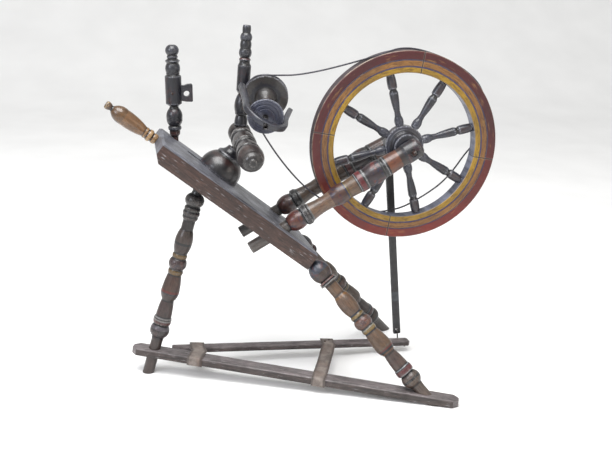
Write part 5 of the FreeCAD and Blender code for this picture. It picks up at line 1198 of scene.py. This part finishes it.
@dataclass
class DriveWheel:
    """Axle with its crank, hub, eight spokes and four felloes."""

    outer: float = 230.0
    inner: float = 177.1
    half_width: float = 18.3
    spoke_steps: list[Step] = field(default_factory=lambda: [
        (12, 6.5, 0), (.4, 9.5, 0), (24, 8, 2.5), (12, 7, 0), (46, 11, .8), (8, 8, 0), (4, 11, 0), (34.1, 9.5, 1.2),
        (.4, 6.5, 0), (10.2, 6.5, 0)])

    def felloe(self, number: int, material: bpy.types.Material) -> None:
        """One quarter of the rim.

        The section's outline, given as radius and side, is carried round the axle by an angle; at the two ends its
        near face dips by 0.7 mm over the last 1.5 mm, which shows the joint.

        Args:
            number: 1 to 4, each a quarter turn on from the last.
            material: the rim's paint.
        """
        o, i, h = self.outer, self.inner, self.half_width
        outline = np.array([
            (i, h), (i, -h + 2.5), (i + .8, -h + .9), (i + 2.5, -h), (190.4, -h), (191.2, -h + .55), (192, -h + .8),
            (192.8, -h + .55), (193.6, -h), (206.4, -h), (207.2, -h + .55), (208, -h + .8), (208.8, -h + .55),
            (209.6, -h), (o - 2.5, -h), (o - .8, -h + .9), (o, -h + 2.5), (o, -13), (o - 1.8, -9.2), (o - 5.4, -1.6),
            (o - 6, 0), (o - 5.4, 1.6), (o - 1.8, 9.2), (o, 13), (o, h - 2.5), (o - .8, h - .9), (o - 2.5, h),
            (i + 1, h), (i, h)], dtype=float)
        ring = along_line(outline, 1.6)[:-1]
        start = math.radians(82 + 90 * (number - 1))
        share = np.concatenate([[0, .0018, .004], np.linspace(.008, .992, 96), [.996, .9982, 1]])
        angle = start - share * (math.pi / 2 - 0.0006) - 0.0003
        end_gap = np.minimum(share, 1 - share) * (math.pi / 2) * 205
        dip = np.clip(1 - end_gap / 1.5, 0, 1) * 0.6
        radius = ring[None, :, 0] + 0.04 * np.sin(9 * angle[:, None] + ring[None, :, 0])
        side = ring[None, :, 1] + dip[:, None] * (ring[None, :, 1] < -14)
        points = np.stack([HUB_AT[0] + radius * np.cos(angle[:, None]),
                           np.broadcast_to(HUB_AT[1] + side, radius.shape),
                           HUB_AT[2] + radius * np.sin(angle[:, None])], axis=-1)
        rows, cols = points.shape[:2]
        quads = grid_faces(rows, cols, False, True)[:, ::-1]
        centre = points[[0, -1]].mean(axis=1)
        flat = points.reshape(-1, 3)
        total = len(flat)
        last = (rows - 1) * cols + np.arange(cols)
        tris = np.concatenate([fan_faces(np.arange(cols), total, False), fan_faces(last, total + 1, True)])
        made = Skin(np.concatenate([flat, centre]), quads, tris).piece("felloe_%d_ring" % number)
        install(made, ["felloe_%d" % number], Body.WHEEL, material)

    def spoke(self, number: int) -> None:
        """One turned spoke, from the hub to the rim."""
        angle = math.radians(15 + 45 * (number - 1))
        run = vec(math.cos(angle), 0, math.sin(angle))
        axes = aim(HUB_AT + run * 36, run)
        skin = lathe(turned_line(6.5, self.spoke_steps), axes, 36, 0.9, 1)
        zones = ((80, "#3a3c4a", .2), (98, "#34363f", .1), (102, "#23242c", 0), (160, "#393a46", .25))
        paint = TurnedPaint(zones, 0.62, "#6a3a28", "#30364e", "#c6c8d4", 0.6, 0.28)
        install(skin.piece("spoke_%d_turned" % number), ["spoke_%d" % number], Body.WHEEL,
                paint.dress("spoke_%d_paint" % number, axes))

    def hub(self) -> None:
        """The stepped hub with a raised ring on each side of its drum."""
        axes = Axes(HUB_AT - vec(0, 43, 0), AXLE.x, AXLE.y, AXLE.z)
        half = [(3, 33, 0), (18, 33, 0), (1.5, 35, 0), (3, 35, 0), (1.5, 36, 0), (1.2, 39, 0), (1.6, 41, .4),
                (1.0, 44.5, .3), (1.2, 48, .2)]
        steps: list[Step] = [*half, (11, 47.6, 0)]
        radii = [21.0] + [s[1] for s in steps]
        back = [(steps[k][0], radii[k], steps[k][2]) for k in range(len(steps) - 1, -1, -1)]
        skin = lathe(turned_line(21.0, [*steps, *back]), axes, 96, 0.8, 1, 0.001)
        zones = ((25, "#2b2d38", .2), (33, "#3d404f", .1), (54, "#34343f", .3), (62, "#3d404f", .1), (90, "#2b2d38", 0))
        paint = TurnedPaint(zones, 0.6, "#5a3328", "#30364e", "#d0d2de", 0.5, 0.28)
        install(skin.piece("hub_turned"), ["hub"], Body.WHEEL, paint.dress("hub_paint", axes))

    def axle(self) -> None:
        """Forged axle whose far end is bent into a crank: rod, flat arm and pin."""
        rod_axes = Axes(HUB_AT - vec(0, 99.6, 0), AXLE.x, AXLE.y, AXLE.z)
        length = 99.6 + CRANK_SIDE + 4
        out = PIN_AT - HUB_AT
        run = unit(out)
        reach = np.linspace(-8.0, 46.3, 40)
        path = HUB_AT + vec(0, CRANK_SIDE + 2, 0) + reach[:, None] * run
        round_off = np.sqrt(np.clip(1 - np.clip((-reach - 0.0) / 8.4, 0, 1) ** 2, 0.02, 1)) * np.sqrt(
            np.clip(1 - np.clip((reach - 40.0) / 6.5, 0, 1) ** 2, 0.02, 1))
        width = (13 + 3.6 * np.exp(-(reach / 9.0) ** 2)) * round_off
        arm = band_sweep(path, np.cross(run, vec(0, 1, 0)), width, 4.0, 6.0, 24)
        pin_axes = Axes(PIN_AT + vec(0, CRANK_SIDE, 0), AXLE.x, AXLE.y, AXLE.z)
        skin = joined([rod(6.0, length, rod_axes, 40), arm, rod(4.0, 16.0, pin_axes, 32)])
        install(skin.piece("axle_forged", 50), ["axle"], Body.WHEEL, OldIron().dress("axle_iron", AXLE))

    def build(self) -> None:
        """Builds every piece of the wheel."""
        self.axle()
        self.hub()
        for number in range(1, 9):
            self.spoke(number)
        paint = RimPaint().dress("rim_paint", AXLE)
        for number in range(1, 5):
            self.felloe(number, paint)


@dataclass
class Footman:
    """Flat stick from the crank to the treadle, with its leather tie and wire hook."""

    stick_wide: float = 20.0
    stick_thick: float = 8.0
    tie_length: float = 50.0

    def stick(self) -> None:
        """The black stick, a little uneven along its edges and worn round its ends."""
        reach = np.linspace(self.tie_length, HANG_SPAN, 120)
        end = np.clip(np.minimum(reach - self.tie_length, HANG_SPAN - reach) / 2.0, 0, 1)
        width = (self.stick_wide - 0.35 + 0.35 * np.sin(reach / 37.0) * np.cos(reach / 91.0)) * (0.9 + 0.1 * end)
        thick = (self.stick_thick - 0.2) * (0.8 + 0.2 * end)
        path = HANG.origin + reach[:, None] * HANG.z
        made = band_sweep(path, HANG.x, width, thick, 9.0, 40).piece("footman_board")
        hole = HANG.moved(0, -20, HANG_SPAN - 14 + 1.5)
        cut_by(made, [rod(3.6, 40, Axes(hole.origin, HANG.x, -HANG.z, HANG.y), 28, 0.2)])
        zones = ((60, "#141316", 0), (HANG_SPAN - 120, "#17151a", .2), (HANG_SPAN - 96, "#3a4048", 0),
                 (600, "#1b1c22", .1))
        paint = TurnedPaint(zones, 0.9, "#30201c", "#242c3c", "#5d6068", 0.7, 0.4)
        install(made, ["footman_stick"], Body.FOOTMAN, paint.dress("footman_paint", HANG))

    def tie(self) -> None:
        """Leather lace folded over the crank pin, its two ends lashed with twine against the stick's head."""
        bend = np.linspace(-0.62 * math.pi, 0.62 * math.pi, 40)
        loop = np.stack([6.2 * np.sin(bend), -6.2 * np.cos(bend)], axis=1)
        left = np.array([(-5.0, 7.5), (-3.2, 13), (-2.0, 20), (-1.9, 34), (-1.9, 49.6)])
        corners = np.concatenate([left[::-1], loop, left * vec(-1, 1)])
        line = softened(along_line(corners, 0.8), 3)
        path = HANG.out(np.stack([line[:, 0], np.zeros(len(line)), line[:, 1]], axis=1))
        lace = band_sweep(path, HANG.y, 8.0, 2.8, 5.0, 24)
        turns = np.linspace(0, 5 * 2 * math.pi, 240)
        coil = HANG.out(np.stack([4.4 * np.cos(turns), 4.6 * np.sin(turns), 27 + turns * 1.7 / (2 * math.pi)], axis=1))
        wrap = tube(coil, 0.8, HANG.z, 10)
        made = joined([lace, Skin(wrap.points, wrap.quads, wrap.tris)])
        made.uv = np.concatenate([lace.uv, np.zeros((len(wrap.points), 2))])
        install(made.piece("footman_lace"), ["footman_tie"], Body.FOOTMAN,
                OldLeather("#2b2422", "#4b403b", "#0f0c0c").dress("footman_leather", HANG))

    def hook(self) -> None:
        """Bent wire through the stick's hole, down its near face, to an open bend at the treadle's end."""
        bend, corner, tail = 4.0, 3.5, 5.1
        straight = 18 + 14 - corner
        over = np.radians(np.linspace(0, 180, 24))
        low = np.radians(np.linspace(180, 270, 16))
        line = np.concatenate([
            np.stack([-bend + bend * np.cos(over), bend * np.sin(over)], axis=1),
            np.array([[-2 * bend, -straight * 0.5]]),
            np.stack([-2 * bend + corner + corner * np.cos(low), -straight + corner * np.sin(low)], axis=1),
            np.array([[-2 * bend + corner + tail, -straight - corner]])])
        line = along_line(line, 0.7)
        front = -(self.stick_thick / 2 + 1.6 + 0.05)
        base = HANG.moved(0, front + 2 * bend, HANG_SPAN + 18)
        path = base.out(np.stack([np.zeros(len(line)), line[:, 0], line[:, 1]], axis=1))
        made = tube(path, 1.6, HANG.x, 18).piece("footman_wire")
        install(made, ["footman_hook"], Body.FOOTMAN,
                OldIron("#3a3a3c", "#c4c4c6", "#3a2a22", 0.28).dress("footman_wire_iron", base))

    def build(self) -> None:
        """Builds every piece of the footman."""
        self.stick()
        self.tie()
        self.hook()


@dataclass
class Treadle:
    """Treadle arm, its two leather hinges round the front bar, their nails and the peg that the hook pulls."""

    wide: float = 28.0
    thick: float = 12.0
    leather: float = 3.0
    rest_gap: float = 0.3

    def arm(self) -> None:
        """The tapered grey arm."""
        half = self.wide / 2
        skin = plank([(0, 8), (46, -half), (ARM_SPAN - 5, -half), (ARM_SPAN, 5 - half), (ARM_SPAN, half - 5),
                      (ARM_SPAN - 5, half), (0, half)], -self.thick / 2, self.thick / 2, ARM, 1.2, 24)
        made = skin.piece("treadle_board")
        eased(made, 1.3)
        # Lighter top with a painted reflection, darker near side as painted shade.
        paint = BoardPaint("#57504f", "#867b7b", "#2d2625", "#5a4d4a", "#7d7577", -half, self.thick / 2, 0.42)
        install(made, ["treadle_arm"], Body.TREADLE, paint.dress("treadle_wood", ARM))

    def hinge(self, name: str, nodes: list[str], on_bar: float, on_arm: float, wide: float, sag: float) -> None:
        """One leather strip wound round the front bar and laid over the arm.

        Args:
            name: the piece's name.
            nodes: the CAD nodes of its loop and its tongue.
            on_bar: place of its middle along the picture's level direction, at the bar.
            on_arm: the same at the arm.
            wide: its width.
            sag: how far its free run hangs below a straight line.
        """
        bar_x = (on_bar + 242.49 - BAR_START[0]) / BAR.x[0]
        arm_x = (on_arm + 242.49 - ARM_START[0]) / ARM.x[0]
        lift = self.rest_gap + self.leather / 2
        side, top = 20 + lift, 9 + lift
        wound = along_line(np.array([(side, 4), (side, -top), (-side, -top), (-side, top), (side - 3, top)]), 1.0)
        round_bar = BAR.out(np.stack([np.full(len(wound), bar_x), wound[:, 0], wound[:, 1]], axis=1))
        start = BAR.out(vec(bar_x, side + 5, top - 1.5))
        near = ARM.out(vec(arm_x, -self.wide / 2 - 5, self.thick / 2 + lift))
        share = np.linspace(0, 1, 30)[:, None]
        free = start * (1 - share) + near * share - vec(0, 0, sag) * 4 * share * (1 - share)
        over = ARM.out(np.stack([np.linspace(arm_x, arm_x + 4, 20), np.linspace(-self.wide / 2, self.wide / 2 + 2, 20),
                                 np.full(20, self.thick / 2 + lift)], axis=1))
        path = softened(along_line(np.concatenate([round_bar, free, over]), 1.0), 3)
        count = len(path)
        turn = np.clip((np.arange(count) - len(wound)) / (count - len(wound)), 0, 1)[:, None]
        across = BAR.x * (1 - turn) + ARM.x * turn
        reach = np.arange(count)
        uneven = 0.5 * np.sin(reach / 17.0) + 0.3 * np.sin(reach / 7.3)
        made = band_sweep(path, across, wide - 0.8 + uneven, self.leather - 0.2, 7.0, 36).piece(name)
        install(made, nodes, None, OldLeather().dress(name + "_skin", BAR))
        tuple(float(c) / 1000 for c in BAR.out(vec(bar_x, side + 1, top)))
        tuple(float(c) / 1000 for c in BAR.out(vec(bar_x, side + 22, top)))
        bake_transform(made)

    def build(self) -> None:
        """Builds every piece of the treadle."""
        self.arm()
        self.hinge("hinge_strap", ["strap_loop", "strap_tongue"], -208.0, -150.0, 35.0, 2.0)
        self.hinge("hinge_wrap", ["wrap_loop", "wrap_tongue"], -497.0, -493.0, 38.0, 0.5)
        keep_solid(["treadle_nails"], OldIron().dress("nail_iron", ARM))
        keep_solid(["treadle_peg"], TurnedPaint(((40, "#4a3a30", 0.1),)).dress("peg_wood", ARM))


@dataclass
class MotherOfAll:
    """Domed collar, turned bar, rear maiden and the tab that bears the spindle."""

    collar_steps: list[Step] = field(default_factory=lambda: [
        (8, 52, 0), (38, 33, 5), (8, 30, 1.5), (17, 20, -3), (.4, 12, 0), (20, 12, 0)])
    bar_steps: list[Step] = field(default_factory=lambda: [
        (8, 20, 2), (34, 22, 7), (3, 20, 0), (44, 28, 1.5), (4, 24, 0), (58, 27, 2.5), (4, 22.5, 0), (9, 25.5, 1.5),
        (4, 22.5, 0), (52, 29, 1.5), (4, 26, 0), (52, 24, 5.5), (16, 10, 3.5), (4, 7, .8)])
    maiden_steps: list[Step] = field(default_factory=lambda: [
        (18, 9, 0), (.4, 16, 0), (24, 13, 1), (6, 15.5, 1), (46, 10.5, 5), (8, 16, 0), (60, 16, 0), (5, 13.5, 0),
        (10, 14.5, -1.5), (4, 11, 0), (22, 12.5, 3.5), (18, 12, 1.5), (19, 9.5, 3.5), (18, 9, 1)])

    def build(self) -> None:
        """Builds every piece that slides with the bar."""
        seat = aim(MOTHER_SEAT, OUT)
        skin = lathe(turned_line(52.0, self.collar_steps), seat, 96, 0.9, 2, 0.0015)
        zones = ((8, "#26252e", .2), (34, "#221f22", .1), (46, "#3c211f", 0), (54, "#17171b", 0), (71, "#262730", .2),
                 (93, "#2c2522", 0))
        install(skin.piece("collar_turned"), ["collar"], Body.MOTHER,
                TurnedPaint(zones, 0.5, "#7c3428", "#303a54", "#a8a8b2", gloss=0.26).dress("collar_paint", seat))
        bar = aim(BAR_CENTRE + BAR_DIR * ((30 - 125) / math.cos(DROOP)), BAR_DIR, OUT)
        skin = lathe(turned_line(11.0, self.bar_steps), bar, 80, 0.9, 2)
        zones = ((42, "#3a3332", .1), (45, "#131317", 0), (89, "#453b38", .2), (93, "#131317", 0),
                 (151, "#413a39", .2), (155, "#101014", 0), (164, "#4b4345", 0), (168, "#101014", 0),
                 (220, "#453d3c", .2), (224, "#121216", 0), (276, "#4a403c", .15), (300, "#2c2625", 0))
        install(skin.piece("mother_bar_turned"), ["mother_bar"], Body.MOTHER,
                TurnedPaint(zones, 0.5, "#7c3a2c", "#303a54", "#b8b2ac", gloss=0.3).dress("mother_bar_paint", bar))
        maiden = aim(MAIDEN_AT + MAIDEN_RUN * 4.5, MAIDEN_RUN)
        skin = lathe(turned_line(9.0, self.maiden_steps), maiden, 56, 0.8, 2)
        zones = ((43, "#2a2a34", .2), (49, "#14141a", 0), (95, "#30303a", .25), (103, "#14141a", 0),
                 (163, "#33343f", .2), (168, "#131318", 0), (178, "#2c2d37", 0), (182, "#9a2b28", 0),
                 (204, "#30313c", .1), (222, "#26272f", 0), (260, "#2e2f3a", .1))
        install(skin.piece("rear_maiden_turned"), ["rear_maiden"], Body.MOTHER,
                TurnedPaint(zones, 0.4, "#7c3428", "#303a64", "#b3b6c4", gloss=0.26).dress("maiden_paint", maiden))
        wood = TurnedPaint(((400, "#33302f", 0.1),), 1.0).dress("bearing_wood", maiden)
        keep_solid(["rear_bearing", "slide_block"], wood)


@dataclass
class Bobbin:
    """Grooved whorl, core and front flange, loose on the spindle."""

    bore: float = 4.6

    def turned(self, name: str, outline: list[tuple[float, float]], zones: tuple[Zone, ...]) -> None:
        """One turned piece with the spindle's bore.

        Args:
            name: the CAD node that it stands for.
            outline: height and radius of its outside, from back to front.
            zones: rings of colour along it.
        """
        line = np.array([(outline[0][0], self.bore), *outline, (outline[-1][0], self.bore),
                         (outline[0][0], self.bore)], dtype=float)
        skin = lathe(line, BOBBIN, 96, 0.7, closed=True, wobble=0.001)
        install(skin.piece(name + "_turned"), [name], Body.BOBBIN,
                TurnedPaint(zones, 0.58, "#5c3a32", "#303a54", "#b3b5c0", 0.7, 0.34).dress(
                    name + "_paint", BOBBIN.moved(0, 0, -12)))

    def build(self) -> None:
        """Builds every piece of the bobbin."""
        self.turned("whorl", [(-10, 26), (-9.4, 30), (-7.6, 52.6), (-7, 53.8), (-6, 53.4), (-1.2, 48.4), (0, 48),
                              (1.2, 48.4), (6, 53.4), (7, 54), (9.4, 54), (10, 53.2), (10.6, 45), (12, 30), (13, 26),
                              (17, 25.2), (24, 22.5), (31, 18), (36, 13), (39, 11)],
                    ((5, "#2b2c36", .1), (19, "#343541", .1), (23.4, "#4a4643", .2), (26, "#2b2c36", 0),
                     (60, "#3a3532", .2)))
        self.turned("bobbin_core", [(39, 11), (60, 10.6), (84, 10.4), (108, 10.6), (127.7, 11)],
                    ((200, "#4a3b30", 0.1),))
        self.turned("bobbin_flange", [(127.8, 41.2), (128.6, 42), (132.2, 42), (133.6, 41.2), (133.8, 38), (133, 37),
                                      (134, 36), (134, 30), (133, 29), (134.1, 28), (134.1, 21), (133.1, 20),
                                      (134.2, 19), (134.2, 12)],
                    ((143, "#30323d", .15), (145.2, "#5b6078", .1), (160, "#474b62", .2)))


@dataclass
class Flyer:
    """Iron spindle with its orifice, the wooden fork and its wire hooks."""

    half_thick: float = 7.5

    def spindle(self) -> None:
        """Tapered iron spindle with a hollow eye at its front."""
        line = np.array([(-48, 0), (-48, 3.2), (-46.5, 4.4), (177.4, 4.5), (178.4, 5.6), (179.4, 5.8), (190, 5.75),
                         (193.2, 5.8), (194, 5.2), (194, 3.9), (193.2, 3.4), (185.6, 3.4), (185.6, 0)], dtype=float)
        made = lathe(line, BOBBIN, 48, 0.5, 1, 0.0).piece("spindle_forged")
        install(made, ["flyer_spindle"], Body.FLYER,
                OldIron("#1f1f22", "#c9c8c6", "#26201f", 0.26).dress("spindle_iron", BOBBIN))

    def fork(self) -> None:
        """The fork as one oblong section carried from tip to tip, thickened at its root and cut by the spindle."""
        half = np.array([(65.5, 180), (59.0, 145), (52.6, 110), (50.6, 88), (51, 66), (45.5, 46), (31.5, 31),
                         (19, 22.5), (7, 20.5)])
        wide = np.array([12.6, 12.8, 13.2, 13.0, 12.4, 13.2, 14.5, 19.0, 22.6])
        line = smooth_path(np.concatenate([half * vec(-1, 1), half[::-1]]), 240)
        reach = np.linspace(0, 1, len(half))
        place = np.abs(np.linspace(-1, 1, 240))
        width = np.interp(1 - place, reach, wide)
        end = np.clip((1 - place) * 120 / 2.5, 0, 1)
        path = FLYER.out(np.stack([line[:, 0], np.zeros(240), line[:, 1]], axis=1))
        across = np.cross(unit(np.gradient(path, axis=0)), FLYER.y)
        made = band_sweep(path, across, width * (0.8 + 0.2 * end), 2 * self.half_thick - 0.3 - 1.5 * (1 - end), 4.5,
                          40).piece("flyer_fork_carved")
        cut_by(made, [rod(4.45, 80, FLYER.moved(0, 0, -20), 32, 0.2)])
        zones = ((30, "#343744", .15), (80, "#2d2f3b", .1), (140, "#3c3f4c", .15), (200, "#30323d", .1))
        paint = TurnedPaint(zones, 0.55, "#7c4438", "#303a64", "#c8cad8", 0.6, 0.28)
        install(made, ["flyer_fork"], Body.FLYER, paint.dress("flyer_fork_paint", FLYER))

    def build(self) -> None:
        """Builds every piece of the flyer."""
        self.spindle()
        self.fork()
        keep_solid(["flyer_hooks"], OldIron("#3a393b", "#b5b4b3", "#4a2a1c", 0.3).dress("hook_iron", FLYER))


@dataclass
class TensionScrew:
    """Wooden screw in the upper end of the table, with its turned handle."""

    reach: float = 188.3
    pitch: float = 8.0
    handle_steps: list[Step] = field(default_factory=lambda: [
        (12, 11, 1.8), (3, 14, 0), (8, 14, 1), (3, 12, 0), (8, 12.5, 1.4), (58, 19.5, 2.5), (32, 7.5, 5), (3, 6.5, 0),
        (11, 10, .8), (5, 6.5, .8)])

    def build(self) -> None:
        """Builds the threaded shaft and the handle."""
        line = np.array([(0, 0), (0, 5.5), (2.4, 7.9), (self.reach - 1, 7.9), (self.reach, 7.9), (self.reach, 0)])
        skin = lathe(line, SCREW, 40, 0.8, 1, 0.0, pitch=self.pitch, crest=1.3)
        wood = TurnedPaint(((400, "#6b4a34", 0.1),), 1.0)
        install(skin.piece("tension_screw_threaded"), ["tension_screw"], Body.SCREW,
                wood.dress("screw_wood", SCREW))
        grip = SCREW.moved(0, 0, self.reach)
        skin = lathe(turned_line(11.0, self.handle_steps), grip, 72, 0.7, 2)
        zones = ((12, "#a0784a", 0), (15, "#6a462c", 0), (23, "#a8804e", 0), (26, "#5c3c28", 0), (34, "#8f683e", 0),
                 (92, "#86603c", 0.05), (124, "#70502f", 0), (127, "#3a2a1e", 0), (138, "#5d4230", 0),
                 (150, "#4a3424", 0))
        install(skin.piece("screw_handle_turned"), ["screw_handle"], Body.SCREW,
                TurnedPaint(zones, 0.72, "#7c4a2c", "#5a4030", "#e0c090", 0.4, 0.2, 0.1).dress("handle_polish", grip))


@dataclass
class DistaffUpright:
    """Turned upright with the pierced tab that stands out of it."""

    steps: list[Step] = field(default_factory=lambda: [
        (34, 8, 0), (7.5, 8, 0), (.4, 8.5, 0), (7, 12.4, 1), (7, 13, 0), (2, 15.3, 0), (7, 15.3, .8), (2, 13, 0),
        (18, 18.9, 2), (24, 11.5, 3), (5, 10.5, 0), (6, 19, 0), (66, 19.5, 0), (3, 15, 0), (5, 15.5, .8),
        (22, 14, 2.8), (6, 17.7, 0), (5, 11, 0), (8, 11, 2), (24, 7, 7)])
    hole: float = 7.0

    def build(self) -> None:
        """Builds the upright and its tab."""
        skin = lathe(turned_line(8.0, self.steps), UP, 64, 0.7, 2)
        zones = ((56, "#5a2f28", .1), (63, "#3a3b46", 0), (65, "#17171c", 0), (83, "#2f303b", .25),
                 (107, "#2b2c37", .25),
                 (112, "#121217", 0), (118, "#343541", 0), (184, "#2c2e3a", .3), (187, "#131318", 0),
                 (214, "#30323e", .15), (225, "#14141a", 0), (233, "#353644", 0), (270, "#2d2f3b", .15))
        install(skin.piece("distaff_post_turned"), ["distaff_post"], Body.DISTAFF,
                TurnedPaint(zones, 0.42, "#7c3428", "#303a54", "#b7b9c6", 0.5, 0.26).dress("distaff_paint", UP))
        flat = Axes(UP.origin, UP.x, UP.z, -UP.y)
        outline = [(17, 127), (30, 124.5), (43, 124), (45, 126), (45, 164), (43, 166), (33, 165.5), (26, 163),
                   (17, 163)]
        made = plank(outline, -7, 7, flat, 0, 6).piece("distaff_tab_carved")
        cut_by(made, [rod(self.hole, 40, flat.moved(30.5, 143.5, -20), 40, 0.1)])
        eased(made, 1.1)
        install(made, ["distaff_tab"], Body.DISTAFF,
                TurnedPaint(((300, "#34353f", 0.1),), 0.45, worn="#a7a9b6").dress("distaff_tab_paint", UP))
        keep_solid(["distaff_nail"], OldIron().dress("distaff_nail_iron", UP))


@dataclass
class DriveBand:
    """Endless twisted cord from the drive wheel to the bobbin's whorl."""

    strand: float = 1.05
    lay: float = 9.0
    strands: int = 3

    def round_pulley(self, middle: Array, right: Array, up: Array, radius: float, start: float,
                     end: float) -> list[Array]:
        """Corner points of the cord round a pulley.

        Args:
            middle: the pulley's middle.
            right: direction of the angle nought.
            up: direction of a quarter turn.
            radius: radius of the cord's centre line.
            start: angle in degrees where it meets the pulley.
            end: angle in degrees where it leaves it.

        Returns:
            Four corner points, each outside the pulley's arc.
        """
        first, last = math.radians(start), math.radians(end)
        half, lead = (first - last) / 4, math.atan2(8, radius)
        corners = [(first + lead, math.hypot(radius, 8)), (first - half, radius / math.cos(half)),
                   (last + half, radius / math.cos(half)), (last - lead, math.hypot(radius, 8))]
        return [middle + reach * (math.cos(turn) * right + math.sin(turn) * up) for turn, reach in corners]

    def route(self) -> Array:
        """Points read from the smooth spline whose control points are the cord's corners."""
        across, upright = vec(1, 0, 0), vec(0, 0, 1)
        wheel = self.round_pulley(HUB_AT, across, upright, 227.63, 111.0, 25)
        climb = HUB_AT + vec(234.6 * math.cos(math.radians(16)), 9, 234.6 * math.sin(math.radians(16)))
        over = HUB_AT + vec(231 * math.cos(math.radians(8)), 25.3, 231 * math.sin(math.radians(8)))
        hanging = [at(181.2, 25.5, 573.1), at(128.2, 26, 488), at(67, 27, 441), at(-2.6, 28, 403.5), at(-115, 32, 400)]
        rising = [at(-209.8, 40, 440.6), at(-294.5, 66, 526.3)]
        whorl = self.round_pulley(WHORL_AT, SIDEWAYS, UPWARD, 52.35, 211.7, 93)
        corners = [*wheel, climb, over, *hanging, *rising, *whorl, at(-246.5, 35, 739.0)]
        curve = bpy.data.curves.new("band_route", "CURVE")
        curve.dimensions = "3D"
        curve.resolution_u = 24
        spline = curve.splines.new("NURBS")
        spline.points.add(len(corners) - 1)
        spline.points.foreach_set("co", np.array([[*(c / 1000), 1.0] for c in corners]).ravel())
        spline.order_u = 3
        spline.use_cyclic_u = True
        holder = bpy.data.objects.new("band_route", curve)
        bpy.context.scene.collection.objects.link(holder)
        bpy.context.view_layer.update()
        line = bpy.data.meshes.new_from_object(holder.evaluated_get(bpy.context.evaluated_depsgraph_get()))
        points = np.zeros(len(line.vertices) * 3)
        line.vertices.foreach_get("co", points)
        bpy.data.objects.remove(holder)
        bpy.data.curves.remove(curve)
        bpy.data.meshes.remove(line)
        points = points.reshape(-1, 3) * 1000.0
        return along_line(np.concatenate([points, points[:1]]), 1.5)[:-1]

    def build(self) -> None:
        """Lays the twisted strands along the route."""
        path = self.route()
        ahead = unit(np.roll(path, -1, axis=0) - np.roll(path, 1, axis=0))
        side = vec(0, 1, 0)
        first = unit(side - (ahead @ side)[:, None] * ahead)
        second = np.cross(ahead, first)
        length = float(np.sum(np.linalg.norm(np.roll(path, -1, axis=0) - path, axis=1)))
        turns = round(length / self.lay)
        share = np.arange(len(path)) / len(path)
        skins = []
        for number in range(self.strands):
            turn = (2 * math.pi * (share * turns + number / self.strands))[:, None]
            middle = path + 1.08 * self.strand * (np.cos(turn) * first + np.sin(turn) * second)
            skins.append(tube(middle, self.strand, side, 10, True))
        made = joined(skins).piece("drive_band_twisted", 80)
        log.info("drive band: %.0f mm long", length)
        install(made, ["drive_band"], None, WornTwine().dress("band_twine", TABLE))
        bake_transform(made)


@dataclass
class Studio:
    """Pale floor, soft overhead light and the camera."""

    lens: float = 58.82
    yaw: float = 11.16
    pitch: float = 16.55
    roll: float = 2.78
    place: Array = field(default_factory=lambda: vec(-0.44421, -2.30055, 1.0655))

    def camera(self) -> None:
        """Camera at the photograph's viewing angle."""
        yaw, pitch, roll = (math.radians(a) for a in (self.yaw, self.pitch, self.roll))
        ahead = vec(math.sin(yaw) * math.cos(pitch), math.cos(yaw) * math.cos(pitch), -math.sin(pitch))
        level = vec(math.cos(yaw), -math.sin(yaw), 0)
        above = np.cross(level, ahead)
        right = level * math.cos(roll) + above * math.sin(roll)
        up = above * math.cos(roll) - level * math.sin(roll)
        data = bpy.data.cameras.new("camera")
        data.lens, data.sensor_width = self.lens, 36.0
        data.clip_start, data.clip_end = 0.05, 50.0
        made = bpy.data.objects.new("camera", data)
        bpy.context.scene.collection.objects.link(made)
        turn = Matrix(np.stack([right, up, -ahead], axis=1).tolist()).to_4x4()
        made.matrix_world = Matrix.Translation(self.place.tolist()) @ turn
        bpy.context.scene.camera = made

    def light(self, name: str, place: Array, aim_at: Array, size: float, power: float, colour: str) -> None:
        """One soft square lamp.

        Args:
            name: the lamp's name.
            place: where it hangs, in metres.
            aim_at: the point that it faces.
            size: length of its side in metres.
            power: its power in watts.
            colour: its colour.
        """
        data = bpy.data.lights.new(name, "AREA")
        data.size, data.energy, data.color = size, power, tone(colour)[:3]
        made = bpy.data.objects.new(name, data)
        bpy.context.scene.collection.objects.link(made)
        back = unit(place - aim_at)
        side = unit(np.cross(vec(0.01, 1, 0), back))
        turn = Matrix(np.stack([side, np.cross(back, side), back], axis=1).tolist()).to_4x4()
        made.matrix_world = Matrix.Translation(place.tolist()) @ turn

    def floor(self) -> None:
        """Pale sheet that runs level and then up behind: its height is 0.3 * (y - 3.5) squared past y = 3.5 m."""
        x, y = np.meshgrid(np.linspace(-9, 9, 40), np.linspace(-7, 9, 60))
        z = 0.3 * np.clip(y - 3.5, 0, None) ** 2 - 0.0005
        points = np.stack([x, y, z], axis=-1).reshape(-1, 3) * 1000
        made = Skin(points, grid_faces(60, 40, False, False)).piece("studio_floor")
        made.data.materials.append(PaleFloor().dress("studio_floor_paint"))

    def build(self) -> None:
        """Sets up the camera, the lamps, the floor and the room's light."""
        self.camera()
        self.floor()
        middle = vec(0, 0, 0.5)
        self.light("overhead", vec(-0.5, -0.7, 2.9), middle, 2.0, 115.0, "#ffffff")
        self.light("window", vec(-2.6, -1.6, 1.8), middle, 1.2, 34.0, "#eef3ff")
        self.light("fill", vec(2.4, -2.2, 1.5), middle, 1.6, 14.0, "#fff3e4")
        world = bpy.data.worlds.new("studio_room")
        world.use_nodes = True
        back = world.node_tree.nodes["Background"]
        back.inputs[0].default_value = (1.0, 1.0, 1.0, 1.0)
        back.inputs[1].default_value = 0.7
        bpy.context.scene.world = world
        bpy.context.scene.view_settings.view_transform = "Standard"


def main() -> None:
    """Builds every sub-assembly."""
    logging.basicConfig(level=logging.INFO, format="%(message)s")
    for part in (Stand(), DriveWheel(), Footman(), Treadle(), MotherOfAll(), Bobbin(), Flyer(), TensionScrew(),
                 DistaffUpright(), DriveBand(), Studio()):
        log.info("== %s", type(part).__name__)
        part.build()


if __name__ == "__main__":
    main()
